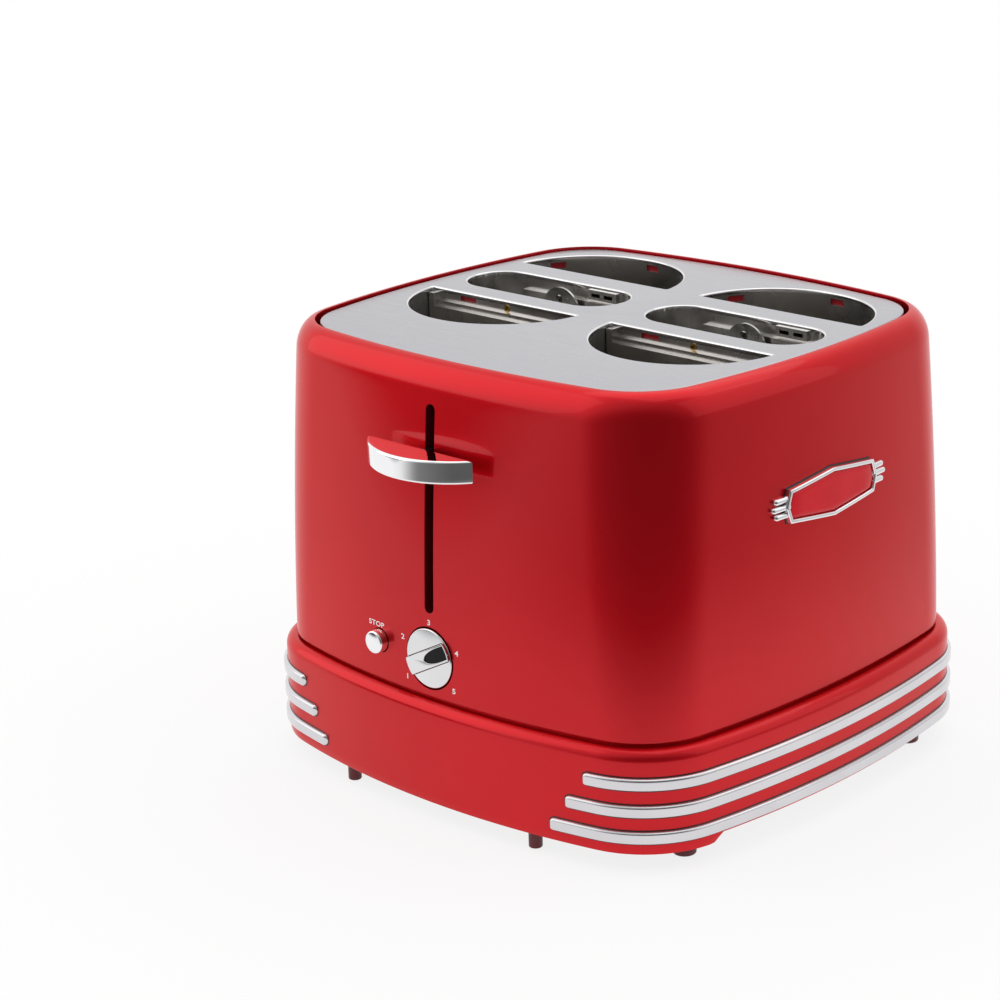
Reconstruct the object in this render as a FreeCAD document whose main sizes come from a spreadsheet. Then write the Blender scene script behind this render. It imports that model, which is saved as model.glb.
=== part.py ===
import FreeCAD, Part
import math
import operator
import os
import types
import Sketcher

# Hot dog toaster: two hot dog slots between four bun slots, one carriage lowered by a front lever.
# Frame: X runs right along the lever face, Y to the rear, Z up, origin at the middle of the footprint.

DOC = FreeCAD.newDocument("hot_dog_toaster")
V = FreeCAD.Vector

OUTLINES = {  # half X, half Y, radius of the front and rear arcs, of the side arcs, of the corners
    "plate": (127.6, 118.1, 612.0, 517.0, 35.4),
    "seam": (143.7, 139.9, 454.0, 602.0, 43.5),
    "mid": (143.6, 137.1, 520.0, 580.0, 50.0),
    "rim": (140.3, 130.6, 600.0, 560.0, 52.0),
    "base": (150.9, 145.6, 464.0, 544.0, 50.0),
}
OUTLINE_FIELDS = ("half_x", "half_y", "end_radius", "side_radius", "corner_radius")

DIMENSIONS = {
    # casing levels
    "base_bottom": 9.5, "base_step": 13.9, "base_top": 63.2, "base_wall": 3.0, "base_shoulder": 6.0,
    "deck_level": 60.0, "seam_level": 64.8, "mid_level": 140.0, "rim_level": 234.5, "rim_rounding": 10.5,
    "sheet_wall": 1.2, "plate_level": 233.5, "plate_skirt": 4.0, "plate_gap": 2.5, "rim_lip": 6.5,
    "floor_level": 15.2,
    # slots
    "slot_near": 11.5, "slot_far": 116.5, "slot_lip": 2.2, "thin_wall": 1.0, "chute_foot": 72.0,
    "front_flat": -12.5, "front_centre": -9.4, "front_radius": 52.6,
    "rear_flat": 58.0, "rear_centre": 51.6, "rear_radius": 52.9,
    "sausage_front": 2.5, "sausage_rear": 40.5, "glow_low": 84.0, "glow_high": 206.0,
    # steps, window and wires of the bun slots' flat walls; ledges of the hot dog slots
    "step_depth": 2.5, "step_high": 227.1, "step_low": 224.3, "step_pillar": 5.0, "step_end": 1.0,
    "panel_window": 228.4, "panel_window_start": 20.3, "panel_window_end": 31.8,
    "wire_pitch": 13.3, "wire_radius": 0.7, "wire_foot": 80.0,
    "eyelet_run": 54.6, "eyelet_level": 229.2, "eyelet_radius": 2.0, "ledge_level": 225.0,
    "ledge_depth": 3.0,
    # openings in the front of the shell
    "lever_low": 108.4, "lever_high": 214.9, "lever_width": 6.2,
    "dial_level": 84.8, "dial_radius": 15.6, "dial_face": -140.0, "shaft_radius": 3.0,
    "button_x": -36.6, "button_level": 85.4, "button_radius": 6.0, "button_front": -143.2,
    # chassis and carriage
    "chassis_front": -65.0, "chassis_rear": 107.5, "chassis_side": 118.0, "chassis_top": 226.0,
    "shelf_level": 44.0, "rod_radius": 2.5, "rod_front": -92.0, "rod_rear": 118.0, "rod_fit": 0.05,
    "eye_radius": 6.0, "bracket_level": 222.0, "rest_level": 146.0, "rest_sheet": 1.5,
    "spine_height": 18.0, "spine_width": 3.0, "front_arm": -37.0, "rear_arm": 81.0, "arm_width": 10.0,
    "finger_back": 17.0, "lever_level": 189.0, "lever_depth": 8.0,
    "magnet_x": 25.0, "magnet_y": -103.0, "magnet_top": 95.0, "armature_level": 171.0,
    # the lever's handle
    "grip_radius": 45.6, "grip_back": -140.5, "grip_front": -158.6, "grip_height": 11.8,
    # cages and crumb tray
    "cage_wire": 1.1, "cage_radius": 13.0, "cage_half": 35.0, "cage_base": 148.5, "cage_ring": 214.5,
    "cage_tab": 231.0, "cage_tab_radius": 13.2, "cage_tab_x": -2.5, "cage_tab_hole": 2.4,
    "tray_half": 105.0, "tray_front": -64.0, "tray_floor": 17.0, "tray_top": 27.0, "tray_pull": 158.6,
    "door_half": 108.0, "door_low": 16.0, "door_high": 30.0,
    # trim, badge, feet and cord
    "strip_upper": 46.5, "strip_middle": 32.5, "strip_lower": 18.85, "strip_half": 3.35,
    "strip_proud": 2.0, "strip_upper_end": 97.4, "strip_middle_end": 87.7, "strip_lower_end": 78.7,
    "strip_rear_end": 114.0,
    "badge_y": -1.4, "badge_level": 167.0, "badge_tip": 36.0, "badge_corner": 33.0, "badge_side": 8.4,
    "badge_peak": 12.2, "badge_border": 2.0, "badge_bar": 1.6, "badge_bar_pitch": 3.9,
    "badge_reach": 43.3, "badge_reach_outer": 41.5,
    "peg_x": 64.7, "peg_y": -134.0, "foot_x": 125.0, "foot_y": 92.0, "screw_x": 132.0, "screw_y": 60.0,
    "gland_x": -90.0, "gland_level": 44.0, "gland_radius": 6.0, "cord_radius": 3.6,
}


class Size:
    """A length worked out from the sheet: its value now, and the text the sheet works it out from."""

    SIGNS = {"+": operator.add, "-": operator.sub, "*": operator.mul, "/": operator.truediv}

    def __init__(self, value, text):
        self.value = value
        self.text = text

    def _with(self, sign, other, turned=False):
        pair = [self, other if isinstance(other, Size) else Size(float(other), f"{float(other)}")]
        if turned:
            pair.reverse()
        value = self.SIGNS[sign](pair[0].value, pair[1].value)
        return Size(value, f"({pair[0].text} {sign} {pair[1].text})")

    def __add__(self, other):
        return self._with("+", other)

    def __radd__(self, other):
        return self._with("+", other, True)

    def __sub__(self, other):
        return self._with("-", other)

    def __rsub__(self, other):
        return self._with("-", other, True)

    def __mul__(self, other):
        return self._with("*", other)

    def __rmul__(self, other):
        return self._with("*", other, True)

    def __truediv__(self, other):
        return self._with("/", other)

    def __neg__(self):
        return self._with("*", -1)


def fill_sheet():
    """Writes every driving dimension into the sheet and gives them back by name."""
    sheet = DOC.addObject("Spreadsheet::Sheet", "dim")
    values = dict(DIMENSIONS)
    for shape, sizes in OUTLINES.items():
        values.update({f"{shape}_{field}": size for field, size in zip(OUTLINE_FIELDS, sizes)})
    for row, (name, value) in enumerate(values.items(), 1):
        sheet.set(f"A{row}", name)
        sheet.set(f"B{row}", str(value))
        sheet.setAlias(f"B{row}", name)
    DOC.recompute()
    return types.SimpleNamespace(**{name: Size(value, f"dim.{name}") for name, value in values.items()})


D = fill_sheet()
NODES = []


def bind(item, path, size):
    text = size.text if isinstance(size, Size) else f"{float(size)}"
    item.setExpression(path, f"({text}) * 1 mm")


def number(size):
    return size.value if isinstance(size, Size) else float(size)


def node(name, item):
    """Names a finished sub-part; its Label is the name of its node and file."""
    item.Label = name
    NODES.append(item)
    return item


# ---------------------------------------------------------------- solids


def block(name, x, y, z):
    """A box between two places along each axis."""
    item = DOC.addObject("Part::Box", name)
    for side, axis, (low, high) in zip(("Length", "Width", "Height"), "xyz", (x, y, z)):
        bind(item, side, high - low)
        bind(item, "Placement.Base." + axis, low)
    return item


TURNS = {"x": FreeCAD.Rotation(V(0, 1, 0), 90), "y": FreeCAD.Rotation(V(1, 0, 0), -90),
         "z": FreeCAD.Rotation()}


def rod(name, axis, middle, radius, span):
    """A cylinder over a span of one axis; middle gives its place along the other two."""
    item = DOC.addObject("Part::Cylinder", name)
    item.Placement = FreeCAD.Placement(V(), TURNS[axis])
    bind(item, "Radius", radius)
    bind(item, "Height", span[1] - span[0])
    bind(item, "Placement.Base." + axis, span[0])
    for other, place in zip([a for a in "xyz" if a != axis], middle):
        bind(item, "Placement.Base." + other, place)
    return item


def joined(name, *items):
    item = DOC.addObject("Part::MultiFuse", name)
    item.Shapes = list(items)
    item.Refine = True
    return item


def cut(name, base, *tools):
    item = DOC.addObject("Part::Cut", name)
    item.Base = base
    item.Tool = tools[0] if len(tools) == 1 else joined(name + "_tools", *tools)
    return item


def common(name, first, second):
    item = DOC.addObject("Part::Common", name)
    item.Base = first
    item.Tool = second
    return item


def group(name, items):
    item = DOC.addObject("Part::Compound", name)
    item.Links = list(items)
    return item


def rounded(name, base, radius, chosen):
    """Rounds the edges of base that chosen picks."""
    DOC.recompute()
    item = DOC.addObject("Part::Fillet", name)
    item.Base = base
    item.Edges = [(i, number(radius), number(radius))
                  for i, edge in enumerate(base.Shape.Edges, 1) if chosen(edge)]
    return item


def across(side, near, far):
    """A span on the right (1) or left (-1) side of the middle."""
    return (near, far) if side > 0 else (-far, -near)


# ---------------------------------------------------------------- bulged outlines


def dimension(sketch, label, places, size):
    index = sketch.addConstraint(Sketcher.Constraint(*places, number(size)))
    sketch.renameConstraint(index, label)
    bind(sketch, "Constraints." + label, size)


def arc_centres(half_x, half_y, end_radius, side_radius, corner_radius):
    """Centres of the rear, right and rear right corner arcs, which meet smoothly."""
    end = (0.0, half_y - end_radius)
    side = (half_x - side_radius, 0.0)
    apart = math.hypot(side[0] - end[0], side[1] - end[1])
    along = ((side[0] - end[0]) / apart, (side[1] - end[1]) / apart)
    to_end = end_radius - corner_radius
    to_side = side_radius - corner_radius
    run = (to_end ** 2 - to_side ** 2 + apart ** 2) / (2 * apart)
    rise = math.sqrt(to_end ** 2 - run ** 2)
    spots = [(end[0] + along[0] * run - s * along[1] * rise, end[1] + along[1] * run + s * along[0] * rise)
             for s in (1, -1)]
    return end, side, max(spots, key=sum)


def arc(centre, radius, start, stop):
    return Part.ArcOfCircle(Part.Circle(V(*centre, 0), V(0, 0, 1), radius), start, stop)


def outline_arcs(sizes):
    """Eight arcs, counter-clockwise from the right side."""
    end, side, corner = arc_centres(*sizes)
    end_radius, side_radius, corner_radius = sizes[2:]
    to_end = math.atan2(corner[1] - end[1], corner[0] - end[0])
    to_side = math.atan2(corner[1] - side[1], corner[0] - side[0])
    x, y = corner
    half, turn = math.pi, 2 * math.pi
    return [
        arc(side, side_radius, -to_side, to_side),
        arc((x, y), corner_radius, to_side, to_end),
        arc(end, end_radius, to_end, half - to_end),
        arc((-x, y), corner_radius, half - to_end, half - to_side),
        arc((-side[0], 0), side_radius, half - to_side, half + to_side),
        arc((-x, -y), corner_radius, half + to_side, half + to_end),
        arc((0, -end[1]), end_radius, half + to_end, turn - to_end),
        arc((x, -y), corner_radius, turn - to_end, turn - to_side),
    ]


def outline(name, shape, off, level):
    """A sketch of a bulged outline, grown by off, at a level."""
    sizes = [getattr(D, f"{shape}_{field}") + off for field in OUTLINE_FIELDS]
    half_x, half_y, end_radius, side_radius, corner_radius = sizes
    sketch = DOC.addObject("Sketcher::SketchObject", name)
    bind(sketch, "Placement.Base.z", level)
    sketch.addGeometry(outline_arcs([number(size) for size in sizes]), False)
    for i in range(8):
        sketch.addConstraint(Sketcher.Constraint("Tangent", i, 2, (i + 1) % 8, 1))
    for first, second in ((1, 3), (1, 5), (1, 7), (0, 4), (2, 6)):
        sketch.addConstraint(Sketcher.Constraint("Equal", first, second))
    for i, axis in ((0, -1), (4, -1), (2, -2), (6, -2)):
        sketch.addConstraint(Sketcher.Constraint("PointOnObject", i, 3, axis))
    side_centre = side_radius - half_x
    end_centre = end_radius - half_y
    for label, places, size in (
            ("side", ("Radius", 0), side_radius), ("end", ("Radius", 2), end_radius),
            ("corner", ("Radius", 1), corner_radius),
            ("right_centre", ("DistanceX", 0, 3, -1, 1), side_centre),
            ("left_centre", ("DistanceX", -1, 1, 4, 3), side_centre),
            ("rear_centre", ("DistanceY", 2, 3, -1, 1), end_centre),
            ("front_centre", ("DistanceY", -1, 1, 6, 3), end_centre)):
        index = sketch.addConstraint(Sketcher.Constraint(*places, number(size)))
        sketch.renameConstraint(index, label)
        bind(sketch, "Constraints." + label, size)
    return sketch


def raised(name, shape, off, low, high):
    """The prism of a bulged outline between two levels."""
    item = DOC.addObject("Part::Extrusion", name)
    item.Base = outline(name + "_outline", shape, off, low)
    item.DirMode = "Custom"
    item.Dir = V(0, 0, 1)
    item.Solid = True
    bind(item, "LengthFwd", high - low)
    return item


def ring(name, shape, outer, inner, low, high):
    return cut(name, raised(name + "_outer", shape, outer, low, high),
               raised(name + "_inner", shape, inner, low, high))


def barrel(name, off, bottom, top):
    """The shell's swelling body, grown by off, between two levels."""
    item = DOC.addObject("Part::Loft", name)
    item.Sections = [outline(f"{name}_{shape}", shape, off, level)
                     for shape, level in (("seam", bottom), ("mid", D.mid_level), ("rim", top))]
    item.Solid = True
    return item


# ---------------------------------------------------------------- slots


ROWS = {"front": (D.front_centre, D.front_radius, D.front_flat, -1),
        "rear": (D.rear_centre, D.rear_radius, D.rear_flat, 1)}
ARMS = {"front": D.front_arm, "rear": D.rear_arm}
SIDES = {"left": -1, "right": 1}
SLOT_MIDDLE = (D.slot_near + D.slot_far) / 2


def bun_prism(name, row, side, off, low, high, flat_off=None):
    """The half-round prism of a bun slot, grown by off."""
    centre, radius, flat, way = ROWS[row]
    disc = rod(name + "_disc", "z", (SLOT_MIDDLE * side, centre), radius + off, (low, high))
    back = flat - way * (off if flat_off is None else flat_off)
    apex = centre + way * (radius + off + 1)
    span = (back, apex) if way > 0 else (apex, back)
    bounds = block(name + "_half", across(side, 0, D.slot_far + 20), span, (low, high))
    return common(name, disc, bounds)


def sausage_prism(name, side, off, low, high):
    """The long round-ended prism of a hot dog slot, grown by off."""
    radius = (D.sausage_rear - D.sausage_front) / 2
    middle = (D.sausage_rear + D.sausage_front) / 2
    near, far = D.slot_near + radius, D.slot_far - radius
    ends = [rod(f"{name}_end{i}", "z", (x * side, middle), radius + off, (low, high))
            for i, x in enumerate((near, far))]
    straight = block(name + "_straight", across(side, near, far),
                     (middle - radius - off, middle + radius + off), (low, high))
    return joined(name, straight, *ends)


def all_slots(name, off, low, high):
    """The prisms of all six slots, grown by off."""
    for label, side in SIDES.items():
        for row in ROWS:
            yield bun_prism(f"{name}_{row}_{label}", row, side, off, low, high)
        yield sausage_prism(f"{name}_sausage_{label}", side, off, low, high)


# ---------------------------------------------------------------- casing


def base_housing():
    outer = raised("base_solid", "base", 0, D.base_bottom, D.base_top)
    shouldered = rounded("base_shouldered", outer, D.base_shoulder,
                         lambda edge: edge.BoundBox.ZMin > number(D.base_top) - 0.01)
    deck = D.deck_level
    hollow = raised("base_hollow", "base", -D.base_wall, D.base_bottom - 1, deck)
    well = raised("base_well", "seam", -4.5, deck - 1, D.base_top + 1)
    step = block("base_step_cut", (-200, 200), (-88, 200), (D.base_bottom - 1, D.base_step))
    door = block("base_door", (-D.door_half, D.door_half), (120, 160), (D.door_low, D.door_high))
    gland = rod("base_gland_hole", "y", (D.gland_x, D.gland_level), D.gland_radius, (120, 150))
    body = cut("base_body", shouldered, hollow, well, step, door, gland)
    lip = ring("base_lip", "seam", -2.2, -4.5, deck + 0.5, D.base_top + 4.4)
    bosses = [cut(f"base_boss{i}", rod(f"base_post{i}", "z", spot, 5.0, (D.floor_level, deck + 0.5)),
                  rod(f"base_pilot{i}", "z", spot, 1.5, (D.floor_level - 1, D.floor_level + 14)))
              for i, spot in enumerate(screw_spots())]
    node("base_housing", joined("base_housing_", body, lip, *bosses))


def screw_spots():
    return [(D.screw_x * sx, D.screw_y * sy) for sx in (-1, 1) for sy in (-1, 1)]


def bottom_plate():
    sheet = raised("bottom_sheet", "base", -D.base_wall, D.floor_level - 1.2, D.floor_level)
    through = (D.floor_level - 3, D.floor_level + 2)
    vents = [block(f"vent{i}_{j}", (x - 2, x + 2), (y - 18, y + 18), through)
             for i, x in enumerate(range(-72, 73, 12)) for j, y in enumerate((-20, 40))]
    holes = [rod(f"screw_hole{i}", "z", spot, 1.6, through) for i, spot in enumerate(screw_spots())]
    node("bottom_plate", cut("bottom_plate_", sheet, *vents, *holes))


def outer_shell():
    wall = D.sheet_wall
    outside = rounded("shell_outside", barrel("shell_outer", 0, D.seam_level, D.rim_level), D.rim_rounding,
                      lambda edge: edge.BoundBox.ZMin > number(D.rim_level) - 0.01)
    inside = rounded("shell_inside", barrel("shell_inner", -wall, D.seam_level, D.rim_level - wall),
                     D.rim_rounding - wall,
                     lambda edge: edge.BoundBox.ZMin > number(D.rim_level - wall) - 0.01)
    mouth = raised("shell_mouth", "plate", D.plate_gap, D.plate_level - 10, D.rim_level + 5)
    front = (-150, -120)
    end = D.lever_width / 2
    slot = joined("lever_slot",
                  block("lever_slot_run", (-end, end), front, (D.lever_low + end, D.lever_high - end)),
                  rod("lever_slot_low", "y", (0, D.lever_low + end), end, front),
                  rod("lever_slot_high", "y", (0, D.lever_high - end), end, front))
    dial = rod("dial_hole", "y", (0, D.dial_level), D.dial_radius + 1, front)
    button = rod("button_hole", "y", (D.button_x, D.button_level), D.button_radius + 0.5, front)
    skin = cut("shell_skin", outside, inside, mouth, slot, dial, button)
    lip = ring("shell_lip", "plate", D.plate_gap + wall, D.plate_gap, D.rim_level - D.rim_lip,
               D.rim_level - wall / 2)
    node("outer_shell", joined("outer_shell_", skin, lip))


def top_plate():
    foot = D.plate_level - D.plate_skirt
    sheet = rounded("plate_sheet", raised("plate_solid", "plate", 0, foot, D.plate_level), 1.0,
                    lambda edge: edge.BoundBox.ZMin > number(D.plate_level) - 0.01)
    hollow = raised("plate_hollow", "plate", -D.sheet_wall, foot - 1, D.plate_level - D.sheet_wall)
    shelf = cut("plate_shelf", sheet, hollow)
    low = D.plate_level - D.slot_lip
    lips = all_slots("lip", D.thin_wall, low, D.plate_level - 0.4)
    holes = all_slots("slot", 0, low - 1, D.plate_level + 1)
    node("top_plate", cut("top_plate_", joined("plate_with_lips", shelf, *lips), *holes))


def trim_strip(side_name, level_name):
    name = f"trim_strip_{side_name}_{level_name}"
    side = SIDES[side_name]
    middle = getattr(D, f"strip_{level_name}")
    end = getattr(D, f"strip_{level_name}_end")
    low, high = middle - D.strip_half, middle + D.strip_half
    band = ring(name + "_band", "base", D.strip_proud, 0, low, high)
    front = block(name + "_front", across(side, end, D.base_half_x + 9), (-200, 0), (low, high))
    rear = block(name + "_rear", across(side, D.strip_rear_end, D.base_half_x + 9), (0, 200), (low, high))
    strip = common(name + "_cut", band, joined(name + "_reach", front, rear))
    tips = rounded(name + "_tips", strip, 3.1, lambda edge: is_tip_edge(edge, number(low), number(high)))
    node(name, tips)


def is_tip_edge(edge, low, high):
    """The two short edges at each end of a strip that run across its thickness."""
    box = edge.BoundBox
    flat = box.ZLength < 0.01 and min(abs(box.ZMin - low), abs(box.ZMin - high)) < 0.01
    return flat and edge.Length < 3.5


def badge_bar(name, level, reach, x):
    """A round-ended bar across the badge, as a prism along X."""
    ends = [rod(f"{name}_end{i}", "x", (D.badge_y + reach * s, level), D.badge_bar, x)
            for i, s in enumerate((-1, 1))]
    run = block(name + "_run", x, (D.badge_y - reach, D.badge_y + reach),
                (level - D.badge_bar, level + D.badge_bar))
    return joined(name, run, *ends)


def badge_plaque(name, border, x):
    """A long eight-cornered prism along X, drawn in by border."""
    tip = D.badge_tip - 1.06 * border
    corner = (D.badge_corner - 0.73 * border, D.badge_side - 0.92 * border)
    peak = D.badge_peak - border
    places = [(tip, 0), corner, (0, peak), (-corner[0], corner[1]), (-tip, 0), (-corner[0], -corner[1]),
              (0, -peak), (corner[0], -corner[1])]
    sketch = DOC.addObject("Sketcher::SketchObject", name + "_outline")
    sketch.Placement = FreeCAD.Placement(V(), FreeCAD.Rotation(V(1, 1, 1), 120))
    for axis, place in zip("xyz", (x[0], D.badge_y, D.badge_level)):
        bind(sketch, "Placement.Base." + axis, place)
    spots = [V(number(y), number(z), 0) for y, z in places]
    for i in range(8):
        sketch.addGeometry(Part.LineSegment(spots[i], spots[(i + 1) % 8]), False)
    for i in range(8):
        sketch.addConstraint(Sketcher.Constraint("Coincident", i, 2, (i + 1) % 8, 1))
    for i, place in enumerate(places):
        for way, size in zip("XY", place):
            if isinstance(size, Size):
                dimension(sketch, f"corner{i}{way}", ("Distance" + way, -1, 1, i, 1), size)
            else:
                sketch.addConstraint(Sketcher.Constraint("PointOnObject", i, 1, -2 if way == "X" else -1))
    item = DOC.addObject("Part::Extrusion", name)
    item.Base = sketch
    item.DirMode = "Custom"
    item.Dir = V(1, 0, 0)
    item.Solid = True
    bind(item, "LengthFwd", x[1] - x[0])
    return item


def badge():
    """A blank plaque with an enamelled field, and three bars that reach past it on both sides."""
    span = (D.rim_half_x - 6, D.seam_half_x + 9)
    skins = {off: barrel(f"badge_skin{i}", off, D.seam_level, D.rim_level)
             for i, off in enumerate((0.0, 1.6, 2.6, 3.3))}
    window = badge_plaque("badge_window", D.badge_border, span)
    bars = [badge_bar(f"badge_bar{i}", D.badge_level + D.badge_bar_pitch * i, reach, span)
            for i, reach in ((-1, D.badge_reach_outer), (0, D.badge_reach), (1, D.badge_reach_outer))]
    wings = common("badge_wings", joined("badge_bars", *bars), skins[2.6])
    front = common("badge_front", badge_plaque("badge_plaque", 0 * D.badge_border, span), skins[3.3])
    pocket = cut("badge_pocket", window, skins[1.6])
    node("badge_frame", cut("badge_frame_", joined("badge_body", front, wings), skins[0.0], pocket))
    enamel = badge_plaque("badge_enamel", D.badge_border, span)
    node("badge_inlay", cut("badge_inlay_", common("badge_field", enamel, skins[2.6]), skins[1.6]))


# ---------------------------------------------------------------- slot walls and heaters


CHUTE_WINDOWS = (((-50, -36), (75, 83)), ((-1.9, 6.9), (100, 108)))  # X from the slot's middle, Y


def from_left(side, start, stop):
    """A span along a slot, measured from the slot's left end."""
    end = D.slot_near if side > 0 else -D.slot_far
    return end + start, end + stop


def bun_chute(row, label):
    """The curved wall of a bun slot, open towards the heater, slit for the carriage's arm."""
    name = f"bun_chute_{row}_{label}"
    side = SIDES[label]
    low, high = D.chute_foot, D.plate_level - D.slot_lip
    solid = bun_prism(name + "_outer", row, side, D.thin_wall, low, high, flat_off=0)
    hollow = bun_prism(name + "_inner", row, side, 0, low - 1, high + 1)
    arm = ARMS[row]
    half = D.arm_width / 2 + 1.5
    tools = [hollow, block(name + "_slit", across(side, D.slot_near - 3, D.slot_near + 30),
                           (arm - half, arm + half), (low - 1, D.rest_level + 30))]
    if row == "rear":
        for i, (x, y) in enumerate(CHUTE_WINDOWS):
            span = (SLOT_MIDDLE * side + x[0], SLOT_MIDDLE * side + x[1])
            tools.append(block(f"{name}_window{i}", span, y, (227, 230.4)))
    node(name, cut(name + "_", solid, *tools))


def depth(row, start, stop):
    """A span behind the flat wall of a bun slot; a negative place stands inside the slot."""
    flat, way = ROWS[row][2:]
    return (flat - way * stop, flat - way * start) if way > 0 else (flat - way * start, flat - way * stop)


def guard_panel(row, label):
    """The flat wall of a bun slot: two folded steps, a window, an eyelet hole and guard wires."""
    name = f"guard_panel_{row}_{label}"
    side = SIDES[label]
    low, high = D.chute_foot, D.plate_level - D.slot_lip
    step, sheet = D.step_depth, D.thin_wall
    run = D.slot_far - D.slot_near

    def part(label, x, places, z):
        return block(f"{name}_{label}", x, depth(row, *places), z)

    panel = cut(name + "_plate",
                part("sheet", from_left(side, 0, run), (0, sheet), (low, high)),
                part("glow", from_left(side, 6, run - 6), (-1, 2), (D.glow_low, D.glow_high)),
                part("window", from_left(side, D.panel_window_start, D.panel_window_end), (-1, 2),
                     (D.panel_window, high + 1)),
                rod(name + "_eye", "y", (from_left(side, D.eyelet_run, 0)[0], D.eyelet_level), 1.0,
                    depth(row, -1, 2)))
    upper = from_left(side, D.step_pillar, run - D.step_end)
    lower = from_left(side, D.step_end, run - D.step_end)
    folds = [
        part("upper_ledge", upper, (-step, 0), (D.step_high - sheet, D.step_high)),
        part("upper_apron", upper, (-step, sheet - step), (D.step_low - sheet, D.step_high)),
        part("lower_ledge", lower, (-2 * step, 0), (D.step_low - sheet, D.step_low)),
        part("lower_apron", lower, (-2 * step, sheet - 2 * step), (D.glow_high, D.step_low)),
        part("pillar", from_left(side, D.step_end, D.step_pillar), (-2 * step, 0), (D.step_low, high)),
        part("wire_ledge", lower, (-2 * step, 0), (D.wire_foot - sheet, D.wire_foot)),
        part("fold", across(side, D.slot_near - sheet, D.slot_near), (0, 6), (low, high)),
    ]
    flat, way = ROWS[row][2:]
    stand = flat + way * (2 * step - D.wire_radius)
    wires = [rod(f"{name}_wire{i}", "z", (from_left(side, 6 + D.wire_pitch * i, 0)[0], stand), D.wire_radius,
                 (D.wire_foot - sheet, D.glow_high + 1)) for i in range(8)]
    node(name, joined(name + "_", panel, *folds, *wires))


def panel_eyelets():
    """A brass eyelet in each flat wall."""
    eyelets = []
    for row in ROWS:
        for label, side in SIDES.items():
            name = f"eyelet_{row}_{label}"
            spot = (from_left(side, D.eyelet_run, 0)[0], D.eyelet_level)
            body = joined(name + "_body", rod(name + "_flange", "y", spot, D.eyelet_radius, depth(row, -0.5, 0)),
                          rod(name + "_barrel", "y", spot, 1.0, depth(row, 0, D.thin_wall)))
            eyelets.append(cut(name, body, rod(name + "_bore", "y", spot, 0.6, depth(row, -1, 2))))
    node("panel_eyelets", group("panel_eyelets_", eyelets))


def hot_dog_guide(label):
    """The long round-ended tube of a hot dog slot: ledges along both sides, slit for the cage lift."""
    name = f"hot_dog_guide_{label}"
    side = SIDES[label]
    low, high = D.chute_foot, D.plate_level - D.slot_lip
    front, rear, sheet = D.sausage_front, D.sausage_rear, D.thin_wall
    middle = (front + rear) / 2
    outer = sausage_prism(name + "_outer", side, sheet, low, high)
    inner = sausage_prism(name + "_inner", side, 0, low - 1, high + 1)
    glow = block(name + "_glow", across(side, D.slot_near + 18, D.slot_far - 18),
                 (front - 3, rear + 3), (D.glow_low, D.glow_high))
    slit = block(name + "_slit", across(side, D.slot_near - 3, D.slot_near + 12), (middle - 6, middle + 6),
                 (low - 1, D.rest_level + 30))
    straight = across(side, D.slot_near + 19, D.slot_far - 19)
    reach = D.ledge_depth
    folds = []
    for i, (ledge, apron) in enumerate((((front, front + reach), (front + reach - sheet, front + reach)),
                                        ((rear - reach, rear), (rear - reach, rear - reach + sheet)))):
        folds.append(block(f"{name}_ledge{i}", straight, ledge, (D.ledge_level - sheet, D.ledge_level)))
        folds.append(block(f"{name}_apron{i}", straight, apron, (D.glow_high, D.ledge_level)))
    start = from_left(side, 65.5, 0)[0]
    folds.append(block(name + "_bracket", (start, start + 20), (rear - 1.5, rear),
                       (D.ledge_level + 1, high)))
    holes = [block(f"{name}_hole{i}", (start + x, start + x + 6), (rear - 2, rear + 2),
                   (D.ledge_level + 2.5, D.ledge_level + 4.5)) for i, x in enumerate((2.5, 11.5))]
    tube = cut(name + "_tube", outer, inner, glow, slit)
    node(name, cut(name + "_", joined(name + "_folded", tube, *folds), *holes))


BOARDS = {"front": -5.5, "rear": 49.2}
BOARD_HALF = 0.6


def heaters():
    """Mica boards beside the slots, each with a ribbon of heating wire on both faces."""
    ribbons = []
    for row, y in BOARDS.items():
        for label, side in SIDES.items():
            name = f"heater_board_{row}_{label}"
            node(name, block(name + "_", across(side, D.slot_near, D.chassis_side),
                             (y - BOARD_HALF, y + BOARD_HALF), (78, 215)))
            span = across(side, D.slot_near + 4, D.slot_far - 2)
            for i in range(9):
                z = 90 + 13.5 * i
                for j, face in enumerate((y - BOARD_HALF - 0.3, y + BOARD_HALF)):
                    ribbon = block(f"ribbon_{row}_{label}{i}_{j}", span, (face, face + 0.3), (z, z + 1.8))
                    ribbons.append(ribbon)
    node("heater_wires", group("heater_wires_", ribbons))


# ---------------------------------------------------------------- chassis


def shelf(name, x, y, z):
    """A bracket plate with the guide rod's hole."""
    spot = D.rod_front if number(y[0]) < 0 else D.rod_rear
    hole = rod(name + "_hole", "z", (0, spot), D.rod_radius, (0, 240))
    return cut(name, block(name + "_plate", x, y, z), hole)


def chassis_web(name, y, *holes):
    """A wall across the toaster, slit for the carriage's spine."""
    half = D.chassis_side
    slit = block(name + "_slit", (-6, 6), (y - 15, y + 15), (D.shelf_level + 2, D.rest_level + 34))
    plate = block(name + "_plate", (-half, half), (y, y + D.sheet_wall), (D.floor_level, D.chassis_top))
    return cut(name + "_web", plate, slit, *holes)


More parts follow.
